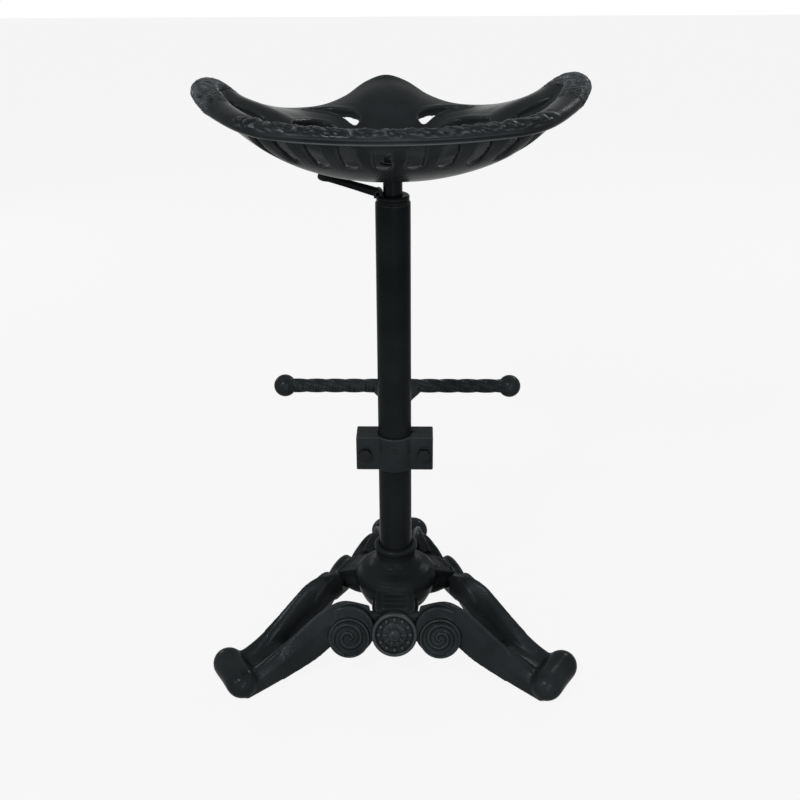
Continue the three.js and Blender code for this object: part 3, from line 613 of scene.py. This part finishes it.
def make_leg(angle):
    """One leg, turned about the column to its own angle."""
    leg = spun(toe_profile)
    lie = Matrix.Translation((foot_radius, 0, toe_height)) @ Matrix.Rotation(math.pi / 2, 4, "X")
    bmesh.ops.transform(leg, matrix=lie, verts=leg.verts)
    put_in(leg, make_web())
    for side in (1, -1):
        turn = Matrix.Rotation(side * math.pi / leg_count, 4, "Z")
        scroll = (
            turn
            @ Matrix.Translation((face_distance, -side * scroll_spacing, face_height))
            @ Matrix.Rotation(math.pi / 2 - face_tilt, 4, "Y")
        )
        button = scroll @ Matrix.Translation((button_drop - scroll_lift, 0, 0))
        put_in(leg, make_arm(side))
        put_in(leg, spun(drum_profile), scroll @ Matrix.Translation((-scroll_lift, 0, 0)))
        put_in(leg, spun(button_profile), button)
        put_in(leg, make_volute(side), button)
        reach = -side * scroll_spacing * ear_share
        ear = pushed_up(
            [(-ear_top, 0), (ear_bottom, 0), (ear_bottom, reach), (-ear_top, reach)],
            -ear_thickness, -clearance,
        )
        bmesh.ops.bevel(
            ear, geom=ear.edges[:], offset=ear_rounding, segments=3, profile=0.5, affect="EDGES",
            material=-1,
        )
        put_in(leg, ear, on_face(side * math.pi / leg_count))
    leg = cast_skin(leg)
    soft = [vert for vert in leg.verts if vert.co.x > toe_soft_from]
    soften(leg, soft, toe_soft_passes)
    for vert in leg.verts:
        vert.co.z = max(vert.co.z, 0)
    bmesh.ops.rotate(leg, cent=(0, 0, 0), matrix=Matrix.Rotation(angle, 3, "Z"), verts=leg.verts)
    return leg


for name, i in (("rear_left", 0), ("rear_right", 1), ("front", 2)):
    leg = make_leg(face_angle(i) - math.pi / leg_count)
    finished_piece(leg, f"leg_casting_{name}", "base", cast_paint, [f"leg_{name}"])


# Column: a drawn steel tube with smooth satin paint. It stands in the hub's socket, where a plug, a
# stud, a washer and a nut under the hub draw it down. Those hidden pieces are blackened steel.
column_profile = ((16.5, 70.8), (19, 70.8), (19, 547.6), (18.6, 548.8), (16.5, 548.8), (16.5, 70.8))
fine_steps = 96


def finish_solid(name, material):
    """Gives its material to a solid that shows as it was packed."""
    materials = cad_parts[name].data.materials
    materials.clear()
    materials.append(material)


tube_paint = make_finish(
    "tube_paint", (0.0085, 0.0103, 0.0112), (0.0135, 0.0162, 0.0174), (0.03, 0.033, 0.035),
    gloss=0.3, shine=0.01, grain=900, relief=0.12, metallic=0.2,
)
dark_steel = make_finish(
    "dark_steel", (0.008, 0.0092, 0.0098), (0.012, 0.0137, 0.0146), (0.022, 0.024, 0.0255),
    gloss=0.24, shine=0.03, grain=700, relief=0.15, metallic=0.3,
)
column = spun(column_profile, fine_steps)
finished_piece(column, "column_pipe", "base", tube_paint, ["column_tube"])
for name in ("column_plug", "column_washer", "column_nut"):
    finish_solid(name, dark_steel)


# Top of the column: a bronze guide bush in the tube's mouth and a turned collar on its end. Two lugs
# on the collar carry the lock lever's steel pin. The lever is a painted rod with an eye and a ball tip.
cap_profile = (
    (10.9, 549.1), (17.4, 549.1), (17.8, 549.5), (17.8, 551.2), (17.2, 551.7), (17.2, 552.3),
    (17.8, 552.8), (17.8, 555.2), (16.6, 556.6), (10.9, 556.6), (10.9, 549.1),
)
lever_pin_x = -15.6
lever_pin_height = 558.6
lug_radius = 4.2
lug_inner = 5
lug_outer = 8.2
lug_sides = 20
cap_rounding = 0.3
small_steps = 48
lever_eye_radius = 5
lever_eye_half = 4.7
lever_eye_edge = 0.4
lever_rise = math.radians(17)
lever_profile = (
    (0, 0), (5, 0), (4.8, 12), (4.4, 24), (4.1, 50), (4.2, 54), (4.8, 57), (5.1, 60),
    (4.8, 63), (3.6, 65.2), (1.8, 66.1), (0, 66.2),
)

bronze = make_finish(
    "bronze", (0.24, 0.15, 0.06), (0.33, 0.21, 0.09), (0.45, 0.32, 0.15),
    gloss=0.45, shine=0.5, grain=1200, relief=0.2, metallic=0.9,
)
finish_solid("guide_bush", bronze)
finish_solid("lever_pin", dark_steel)


def round_edges(piece, width):
    """Rounds the sharp edges of a cut or turned piece and keeps its flat faces flat."""
    bevel = piece.modifiers.new("rounded", "BEVEL")
    bevel.width = width
    bevel.segments = 2
    bevel.limit_method = "ANGLE"
    bevel.angle_limit = math.radians(35)
    flats = piece.modifiers.new("flats", "WEIGHTED_NORMAL")
    flats.keep_sharp = True


cap = spun(cap_profile, fine_steps)
for side in (-1, 1):
    half_turn = [math.pi * (k / lug_sides) for k in range(lug_sides + 1)]
    outline = [(lug_radius * math.cos(angle), lug_radius * math.sin(angle)) for angle in half_turn]
    outline += [(-lug_radius, -lug_radius), (lug_radius, -lug_radius)]
    low, high = sorted((-side * lug_inner, -side * lug_outer))
    place = Matrix.Translation((lever_pin_x, 0, lever_pin_height)) @ upright
    put_in(cap, pushed_up(outline, low, high), place)
piece = finished_piece(cap, "cap_collar", "base", tube_paint, ["top_cap"])
round_edges(piece, cap_rounding * mm)

lever = spun(lever_profile, small_steps)
bmesh.ops.rotate(
    lever, cent=(0, 0, 0), matrix=Matrix.Rotation(lever_rise - math.pi / 2, 3, "Y"), verts=lever.verts,
)
eye_face = [
    (0, lever_eye_half), (lever_eye_radius - lever_eye_edge, lever_eye_half),
    (lever_eye_radius, lever_eye_half - lever_eye_edge),
]
eye_profile = [(radius, -along) for radius, along in eye_face] + eye_face[::-1]
put_in(lever, spun(eye_profile, small_steps), upright)
bmesh.ops.translate(lever, vec=(lever_pin_x, 0, lever_pin_height), verts=lever.verts)
finished_piece(lever, "lever_rod", "lever", tube_paint, ["lock_lever"])


# Stem: a blackened steel rod with a turned flange near its top and a nylon slider at its foot. A nylon
# washer on the flange carries the pan, so that the seat turns freely on it.
stem_profile = ((0, 272.8), (9.7, 272.8), (10.3, 273.4), (10.3, 580.2), (9.7, 580.8), (0, 580.8))
flange_profile = (
    (10.6, 572.6), (12.6, 572.6), (13.4, 573.6), (13.8, 576.4), (14.6, 577.1), (23.2, 577.1), (24, 577.9),
    (24, 580.3), (23.2, 581.1), (10.6, 581.1), (10.6, 572.6),
)

nylon = make_finish(
    "nylon", (0.62, 0.6, 0.54), (0.7, 0.68, 0.62), (0.75, 0.73, 0.68),
    gloss=0.5, shine=0.4, grain=900, relief=0.1,
)
for name in ("stem_slider", "swivel_washer"):
    finish_solid(name, nylon)
for name, profile, solid in (
    ("stem_rod", stem_profile, "seat_stem"),
    ("flange_ring", flange_profile, "stem_flange"),
):
    finished_piece(spun(profile, fine_steps), name, "stem", dark_steel, [solid])


# Seat pan: one iron casting, an open bowl that rises to a lobe on each side and to a pommel in front.
# It is pierced by ten slots in its rear wall and by three openings with raised lips on each side. Its
# pad lies on the stem's nylon washer, and the pan turns there.
seat_turn = Matrix.Rotation(math.radians(3.8), 4, "Z")
seat_bottom = 583.7
seat_half_width = 190
seat_rear = 167
seat_front = 179
bowl_depth = 70
bowl_share = 0.99
shelf_power = 4
pan_thickness = 7
pad_radius = 32
pad_rows = 5
wall_rows = 34
rim_columns = 220
rim_shares = (
    (0, -1, 1, 0.05, 1, 0.75), (0.36, -0.93, 1, 0.05, 1, 0.8), (0.68, -0.72, 1, 0.1, 1.2, 0.85),
    (0.87, -0.4, 1.06, 0.2, 1.4, 0.85), (0.975, -0.12, 1.16, 0.3, 1.4, 1.05),
    (1, 0.06, 1.2, 0.4, 1.4, 1.1), (0.94, 0.22, 1.11, 0.6, 1, 0.9), (0.81, 0.4, 0.79, 0.8, 0.6, 0.7),
    (0.66, 0.57, 0.58, 0.95, 0.5, 0.7), (0.51, 0.67, 0.51, 1, 0.5, 0.7),
    (0.37, 0.75, 0.52, 1, 0.5, 0.7), (0.24, 0.86, 0.61, 1, 0.5, 0.7),
    (0.12, 0.96, 0.78, 0.9, 0.55, 0.7), (0, 1, 0.865, 0.8, 0.6, 0.7),
)
opening_shares = {
    "front": (
        (0.16, 0.5), (0.18, 0.56), (0.25, 0.61), (0.34, 0.65), (0.43, 0.64),
        (0.5, 0.6), (0.43, 0.56), (0.33, 0.54), (0.26, 0.48), (0.2, 0.43),
    ),
    "middle": (
        (0.27, 0.37), (0.35, 0.42), (0.44, 0.39), (0.51, 0.28),
        (0.56, 0.15), (0.5, 0.1), (0.4, 0.15), (0.31, 0.26),
    ),
    "side": (
        (0.68, 0.08), (0.72, 0.1), (0.81, 0.11), (0.9, 0.09),
        (0.89, 0.06), (0.79, 0.025), (0.7, 0.045),
    ),
}
opening_steps = 60
lip_half_width = 2.7
lip_top = 9
lip_sides = 12
flange_depths = {"front": 5, "middle": 5, "side": 3}
slot_count = 10
slot_spacing = math.radians(11.8)
slot_half = 7.8
slot_low = 34
slot_high = 60
slot_corner = 5.5
slot_corner_steps = 6
cutter_reach = 400
cutter_overrun = 20
pivot_hole_radius = 5.3
fillet_width_share = 0.13
fillet_top = 8.6
fillet_least_share = 0.12
fillet_start_share = 0.1
fillet_full_share = 0.17
pan_grain = 1.9
pan_passes = 4
pad_merge_distance = 0.01

rim_loop = [
    (across * seat_half_width, along * (seat_rear if along < 0 else seat_front), up * bowl_depth, *form)
    for across, along, up, *form in rim_shares
]
rim_loop += [(-across, *rest) for across, *rest in reversed(rim_loop[1:-1])]


def pan_point(share_round, share_out):
    """A point of the pan's underside: its place round the rim and its share of the way from the pad.

    The rear is part of an ellipse; the front rises early to a flat shelf under the thighs."""
    x, y, rise, shelf, *form = smooth_row(rim_loop, share_round % 1, closed=True)
    reach = math.hypot(x, y)
    if share_out < 0:
        radius = pad_radius * (1 + share_out)
        return Vector((x * radius / reach, y * radius / reach, seat_bottom))
    radius = pad_radius + (reach - pad_radius) * share_out
    bowl = (1 - math.sqrt(1 - (bowl_share * share_out) ** 2)) / (1 - math.sqrt(1 - bowl_share ** 2))
    flat = 1 - (1 - share_out ** 2) ** shelf_power
    height = rise * (bowl + (flat - bowl) * shelf)
    return Vector((x * radius / reach, y * radius / reach, seat_bottom + height))


def step_between(low, high, value):
    """0 below low, 1 above high and smooth between them."""
    share = min(max((value - low) / (high - low), 0), 1)
    return share * share * (3 - 2 * share)


def opening_outline(shares, side):
    """The outline of an opening seen from above."""
    rows = [(side * x * seat_half_width, y * seat_front) for x, y in shares]
    return [smooth_row(rows, k / opening_steps, closed=True) for k in range(opening_steps)]


# The underside, from the flat pad out to the rim.
underside = bmesh.new()
bmesh.ops.create_grid(underside, x_segments=rim_columns, y_segments=pad_rows + wall_rows, size=0.5)
for vert in underside.verts:
    row = round((vert.co.y + 0.5) * (pad_rows + wall_rows)) - pad_rows
    share = row / pad_rows if row < 0 else row / wall_rows
    vert.co = pan_point(vert.co.x + 0.5, share)
bmesh.ops.remove_doubles(underside, verts=underside.verts, dist=pad_merge_distance)
bmesh.ops.recalc_face_normals(underside, faces=underside.faces)
if next(iter(underside.faces)).normal.z < 0:
    bmesh.ops.reverse_faces(underside, faces=underside.faces)
floor_finder = BVHTree.FromBMesh(underside)

# All that is cut out of the pan: the pivot's hole, the openings and the slots.
cut_low = seat_bottom - cutter_overrun
cut_high = seat_bottom + cutter_overrun
pivot_hole = [(0, cut_low), (pivot_hole_radius, cut_low), (pivot_hole_radius, cut_high), (0, cut_high)]
cutter_shape = spun(pivot_hole, small_steps)
for shares in opening_shares.values():
    for side in (1, -1):
        outline = opening_outline(shares, side)
        put_in(cutter_shape, pushed_up(outline, cut_low, seat_bottom + 2 * bowl_depth))
for i in range(slot_count):
    outline = [(slot_half, slot_high), (-slot_half, slot_high)]
    for k in range(slot_corner_steps + 1):
        angle = math.pi + math.pi / 2 * k / slot_corner_steps
        outline.append((
            slot_corner * (math.cos(angle) + 1) - slot_half,
            slot_low + slot_corner * (math.sin(angle) + 1),
        ))
    outline += [(-x, y) for x, y in reversed(outline[2:])]
    turn = Matrix.Rotation((i - (slot_count - 1) / 2) * slot_spacing, 4, "Z")
    place = turn @ Matrix.Translation((0, 0, seat_bottom)) @ upright
    put_in(cutter_shape, pushed_up(outline, pad_radius, cutter_reach), place)

# The underside gets its wall, and the cuts go through it.
cutter_mesh = bpy.data.meshes.new("cutter")
cutter_shape.to_mesh(cutter_mesh)
cutter_shape.free()
cutter = bpy.data.objects.new("cutter", cutter_mesh)
shell_mesh = bpy.data.meshes.new("shell")
underside.to_mesh(shell_mesh)
underside.free()
shell = bpy.data.objects.new("shell", shell_mesh)
for thing in (cutter, shell):
    bpy.context.scene.collection.objects.link(thing)
wall = shell.modifiers.new("wall", "SOLIDIFY")
wall.thickness = pan_thickness
wall.offset = 1
openings = shell.modifiers.new("openings", "BOOLEAN")
openings.object = cutter
openings.operation = "DIFFERENCE"
bpy.context.view_layer.update()
finished = shell.evaluated_get(bpy.context.evaluated_depsgraph_get())
pan = bmesh.new()
pan.from_mesh(finished.to_mesh())
finished.to_mesh_clear()
for thing, mesh in ((cutter, cutter_mesh), (shell, shell_mesh)):
    bpy.data.objects.remove(thing)
    bpy.data.meshes.remove(mesh)

# A lip stands up round each opening, and its front part also hangs down a little.
for kind, shares in opening_shares.items():
    for side in (1, -1):
        edge = []
        for x, y in opening_outline(shares, side):
            above = Vector((x, y, seat_bottom + cutter_reach))
            edge.append(floor_finder.ray_cast(above, Vector((0, 0, -1)))[0])
        nearest = min(point.y for point in edge)
        reach = max(point.y for point in edge) - nearest
        rings = []
        for k in range(opening_steps + 1):
            point = edge[k % opening_steps]
            ahead = edge[(k + 1) % opening_steps] - edge[k % opening_steps - 1]
            out = Vector((ahead.y, -ahead.x, 0)).normalized()
            deep = flange_depths[kind] * (point.y - nearest) / reach
            middle = (lip_top - deep) / 2
            half = (lip_top + deep) / 2
            rings.append([
                point + out * lip_half_width * math.cos(j * math.tau / lip_sides)
                + Vector((0, 0, middle + half * math.sin(j * math.tau / lip_sides)))
                for j in range(lip_sides)
            ])
        put_in(pan, grown_along(rings))

# A fillet leads from the wall to the rim, and fades where the slots are.
rings = []
for k in range(rim_columns + 1):
    share = k / rim_columns
    x, y, rise, shelf, wide, tall = smooth_row(rim_loop, share % 1, closed=True)
    from_rear = min(share, 1 - share)
    grown = step_between(fillet_start_share, fillet_full_share, from_rear)
    full = fillet_least_share + (1 - fillet_least_share) * grown
    inner = pan_point(share, 1 - fillet_width_share * full)
    rings.append([
        Vector((x, y, seat_bottom + rise + fillet_top * tall * full)),
        Vector((x, y, seat_bottom + rise)),
        inner,
        inner + Vector((0, 0, pan_thickness)),
    ])
put_in(pan, grown_along(rings))
pan = cast_skin(pan, pan_grain, pan_passes)
bmesh.ops.transform(pan, matrix=seat_turn, verts=pan.verts)
finished_piece(pan, "pan_casting", "seat", cast_paint, ["seat_pan"])


# Pan rim: the thick rolled edge of the same casting. Short wavy strokes are cast across both lobes,
# leaf-like scratches along its rear top, and one fine bead under them.
rim_radius = 9.8
rim_length_steps = 1500
rim_round_steps = 56
rim_seam_angle = -0.75 * math.pi
rim_probe_share = 0.001
rim_merge_distance = 0.02
ornament_rise = (math.radians(-75), math.radians(-45))
ornament_fall = (math.radians(140), math.radians(170))
ornament_fade_share = 0.012
stroke_spacing = 3.3
stroke_depth = 1.5
stroke_bend = 0.7
stroke_bends = 6
stroke_wander = 2.2
stroke_wander_length = 12
stroke_wander_turns = 1.3
stroke_fade = 0.7
stroke_fade_length = 5
stroke_fade_turns = 2.5
stroke_fade_seed = 7
stroke_groove_share = 1.3
lobe_from_share = 0.132
lobe_to_share = 0.25
crest_rise = (math.radians(10), math.radians(35))
crest_fall = (math.radians(120), math.radians(150))
leaf_depth = 2.3
leaf_to_share = 0.084
lump_share = 0.8
lump_length = 8
lump_turns = 1.4
lump_seed = 3
scratch_share = 1.8
scratch_width = 0.22
scratch_length = 9
scratch_turns = 1.2
scratch_seed = 11
bead_line_angle = math.radians(-43)
bead_line_width = math.radians(9)
bead_line_height = 1.3
bead_groove_place = 2.2
bead_groove_share = 0.5
bead_to_share = 0.05
bead_fade_share = 0.03


def band(rise, fall, value):
    """1 between a rise and a fall, each a pair of places, and 0 outside them."""
    return step_between(*rise, value) * (1 - step_between(*fall, value))


def rim_relief(share, along, angle):
    """Height of the cast ornament at a place round the rim and an angle of its section."""
    from_rear = min(share, 1 - share)
    height = 0
    lobe_rise = (lobe_from_share - ornament_fade_share, lobe_from_share)
    lobe_fall = (lobe_to_share, lobe_to_share + ornament_fade_share)
    lobe = band(lobe_rise, lobe_fall, from_rear) * band(ornament_rise, ornament_fall, angle)
    if lobe > 0:
        place = Vector((along / stroke_wander_length, angle * stroke_wander_turns, 0))
        bend = stroke_bend * math.sin(stroke_bends * angle) + stroke_wander * noise.noise(place)
        wave = 2 * abs(math.sin(math.pi * along / stroke_spacing + bend)) - stroke_groove_share
        place = Vector((along / stroke_fade_length, angle * stroke_fade_turns, stroke_fade_seed))
        height += lobe * stroke_depth * stroke_fade * (1 + noise.noise(place)) * wave
    leaf = 1 - step_between(leaf_to_share, leaf_to_share + ornament_fade_share, from_rear)
    leaf *= band(crest_rise, crest_fall, angle)
    if leaf > 0:
        lump = noise.noise(Vector((along / lump_length, angle * lump_turns, lump_seed)))
        place = Vector((along / scratch_length + angle, angle * scratch_turns, scratch_seed))
        scratch = max(0, scratch_width - abs(noise.noise(place)))
        height += leaf * leaf_depth * (lump_share * lump - scratch_share * scratch)
    bead = 1 - step_between(bead_to_share, bead_to_share + bead_fade_share, from_rear)
    away = (angle - bead_line_angle) / bead_line_width
    groove = math.exp(-(abs(away) - bead_groove_place) ** 2)
    height += bead * bead_line_height * (math.exp(-away * away) - bead_groove_share * groove)
    return height


def rim_frame(share):
    """The rim's middle at a share of its length, the direction out of it, and its two radii."""
    x, y, rise, shelf, wide, tall = smooth_row(rim_loop, share % 1, closed=True)
    x_next, y_next, *rest = smooth_row(rim_loop, (share + rim_probe_share) % 1, closed=True)
    out = Vector((y_next - y, x - x_next, 0)).normalized()
    return Vector((x, y, seat_bottom + rise)), out, wide * rim_radius, tall * rim_radius


# The rim's finish is the cast paint with a much lighter edge colour: partly rubbed paint, partly painted
# highlight on its strokes and bead.
rim_wear_and_highlight_paint = make_finish(
    "rim_wear_and_highlight_paint", paint_dark, paint_light, (0.15, 0.16, 0.17),
    gloss=0.24, shine=0.008, grain=420, relief=0.25, metallic=0.22, edge_end=0.56,
)
rim = bmesh.new()
bmesh.ops.create_grid(rim, x_segments=rim_length_steps, y_segments=rim_round_steps, size=0.5)
frames = [rim_frame(i / rim_length_steps) for i in range(rim_length_steps + 1)]
travelled = [0]
for (start, *_), (end, *_) in zip(frames, frames[1:]):
    travelled.append(travelled[-1] + (end - start).length)
for vert in rim.verts:
    i = round((vert.co.x + 0.5) * rim_length_steps)
    angle = math.tau * (vert.co.y + 0.5) + rim_seam_angle
    centre, out, wide, tall = frames[i]
    relief = rim_relief(i / rim_length_steps, travelled[i], angle)
    vert.co = (
        centre
        + out * (wide + relief) * math.cos(angle)
        + Vector((0, 0, (tall + relief) * math.sin(angle)))
    )
bmesh.ops.remove_doubles(rim, verts=rim.verts, dist=rim_merge_distance)
bmesh.ops.recalc_face_normals(rim, faces=rim.faces)
bmesh.ops.transform(rim, matrix=seat_turn, verts=rim.verts)
finished_piece(rim, "pan_rim", "seat", rim_wear_and_highlight_paint)


# Seat pivot: a domed blackened bolt with a washer on the pan's pad. It goes down into the stem, and
# the pan turns round it. Both are turned pieces with small rounded edges.
pivot_profile = (
    (0, 560), (5, 560), (5, 593.3), (8.8, 593.3), (9, 593.6), (9, 595.2), (8.2, 597.6), (6.2, 599.4),
    (3.2, 600.2), (2.6, 600.2), (2.6, 597.8), (0, 597.8),
)
seat_washer_profile = (
    (5.3, 591), (12.6, 591), (13, 591.4), (13, 592.6), (12.6, 593), (5.3, 593), (5.3, 591),
)
for name, profile, solid in (
    ("washer_disc", seat_washer_profile, "seat_washer"),
    ("pivot_screw", pivot_profile, "pivot_bolt"),
):
    finished_piece(spun(profile), name, "stem", dark_steel, [solid])


# Footrest clamp: two cast halves bolted round the column, the rear one with a set screw. The front one
# goes on into an arm that rises to the bar and flares to hold it. Painted like the base.
clamp_low = 235
clamp_high = 277
clamp_centre = (clamp_low + clamp_high) / 2
clamp_half_width = 44
clamp_half_depth = 15
clamp_split = 1
sleeve_radius = 23
clamp_bore = 19.3
arm_half_width = 9
arm_half_thickness = 6
arm_overlap = 1
flare_half_width = 31
flare_shares = ((0, 0.62), (0.14, 0.72), (0.41, 0.81), (1, 0.97), (1, 1))
flare_steps = 24
bar_reach = 125
bar_height = 279
sleeve_steps = 48
bolt_place = 33.5
bolt_radius = 4
bolt_end = 24
bolt_seat = clamp_half_depth + clearance
bolt_head_width = 13
bolt_head_height = 5.5
nut_height = 6.5
bolt_rounding = 0.5
bolt_steps = 32


def half_outline(side):
    """One clamp half seen from above: two ears and half a sleeve, with half the bore taken out."""
    start = math.asin(clamp_half_depth / sleeve_radius)
    edge = math.asin(clamp_split / clamp_bore)
    points = [(clamp_half_width, clamp_split), (clamp_half_width, clamp_half_depth)]
    for k in range(sleeve_steps + 1):
        angle = start + (math.pi - 2 * start) * k / sleeve_steps
        points.append((sleeve_radius * math.cos(angle), sleeve_radius * math.sin(angle)))
    points += [(-clamp_half_width, clamp_half_depth), (-clamp_half_width, clamp_split)]
    for k in range(sleeve_steps + 1):
        angle = math.pi - edge - (math.pi - 2 * edge) * k / sleeve_steps
        points.append((clamp_bore * math.cos(angle), clamp_bore * math.sin(angle)))
    return [(x, side * y) for x, y in points]


rear_half = cast_skin(pushed_up(half_outline(-1), clamp_low, clamp_high))
finished_piece(rear_half, "clamp_rear_half", "footrest", cast_paint, ["clamp_rear"])

bracket = pushed_up(half_outline(1), clamp_low, clamp_high)
slope = math.atan2(bar_height - clamp_centre, bar_reach - clamp_half_depth)
flare_rows = [
    (
        arm_half_width + out * (flare_half_width - arm_half_width),
        (along * bar_reach - clamp_half_depth) / math.cos(slope),
    )
    for out, along in flare_shares
]
edge = [(arm_half_width, -arm_overlap)]
edge += [smooth_row(flare_rows, k / flare_steps) for k in range(flare_steps + 1)]
outline = edge + [(-x, y) for x, y in reversed(edge)]
arm_place = Matrix.Translation((0, clamp_half_depth, clamp_centre)) @ Matrix.Rotation(slope, 4, "X")
put_in(bracket, pushed_up(outline, -arm_half_thickness, arm_half_thickness), arm_place)
finished_piece(
    cast_skin(bracket), "bracket_casting", "footrest", cast_paint, ["footrest_bracket"],
)

bolt_profile = ((0, -bolt_end), (bolt_radius, -bolt_end), (bolt_radius, bolt_seat), (0, bolt_seat))
bolt_head_radius = bolt_head_width / math.sqrt(3)
hexagon = [
    (bolt_head_radius * math.cos(k * math.pi / 3), bolt_head_radius * math.sin(k * math.pi / 3))
    for k in range(6)
]
for name, side in (("left", -1), ("right", 1)):
    place = Matrix.Translation((side * bolt_place, 0, clamp_centre)) @ upright
    bolt = spun(bolt_profile, bolt_steps)
    put_in(bolt, pushed_up(hexagon, bolt_seat, bolt_seat + bolt_head_height))
    nut = pushed_up(hexagon, -bolt_seat - nut_height, -bolt_seat)
    for kind, shape in (("bolt", bolt), ("nut", nut)):
        bmesh.ops.transform(shape, matrix=place, verts=shape.verts)
        piece = finished_piece(
            shape, f"{kind}_{name}", "footrest", dark_steel, [f"clamp_{kind}_{name}"],
        )
        round_edges(piece, bolt_rounding * mm)
finish_solid("clamp_set_screw", dark_steel)


# Footrest bar: a square iron rod twisted while hot, so its corners run round it like a rope, with a
# forged ball on each end. It lies in the flared end of the clamp's arm and is painted like the rest.
bar_half_length = 139.6
ball_radius = 13.8
ball_inset = 129.2
bar_radius = 8.5
bar_flatness = 0.25
groove_depth = 0.75
groove_width_share = 0.16
bar_sides = 40
bar_twists = 2.75
bar_steps = 200
ball_profile_steps = 24


def bar_point(turn):
    """A point of the rod's section: nearly round, with four narrow grooves that the twist winds."""
    from_groove = (turn * 4 + 0.5) % 1 - 0.5
    away = from_groove / groove_width_share
    radius = bar_radius - bar_flatness * math.cos(from_groove * math.tau)
    radius -= groove_depth * math.exp(-away * away)
    return radius * math.cos(turn * math.tau), radius * math.sin(turn * math.tau)


bar_section = [bar_point(k / bar_sides) for k in range(bar_sides)]
rings = []
for step in range(bar_steps + 1):
    share = step / bar_steps
    turn = Matrix.Rotation(share * bar_twists * math.tau, 3, "X")
    x = (2 * share - 1) * ball_inset
    centre = Vector((x, bar_reach, bar_height))
    rings.append([centre + turn @ Vector((0, y, z)) for y, z in bar_section])
finished_piece(
    grown_along(rings), "twisted_bar", "footrest", cast_paint, ["footrest_bar"],
)
for name, side in (("left", -1), ("right", 1)):
    profile = []
    for k in range(ball_profile_steps + 1):
        angle = math.pi * k / ball_profile_steps
        profile.append((ball_radius * math.sin(angle), -ball_radius * math.cos(angle)))
    profile[0] = (0, -ball_radius)
    profile[-1] = (0, ball_radius)
    ball = spun(profile, small_steps)
    place = (
        Matrix.Translation((side * bar_half_length, bar_reach, bar_height))
        @ Matrix.Rotation(math.pi / 2, 4, "Y")
    )
    bmesh.ops.transform(ball, matrix=place, verts=ball.verts)
    finished_piece(ball, f"end_ball_{name}", "footrest", cast_paint, [f"ball_{name}"])


bpy.context.view_layer.update()
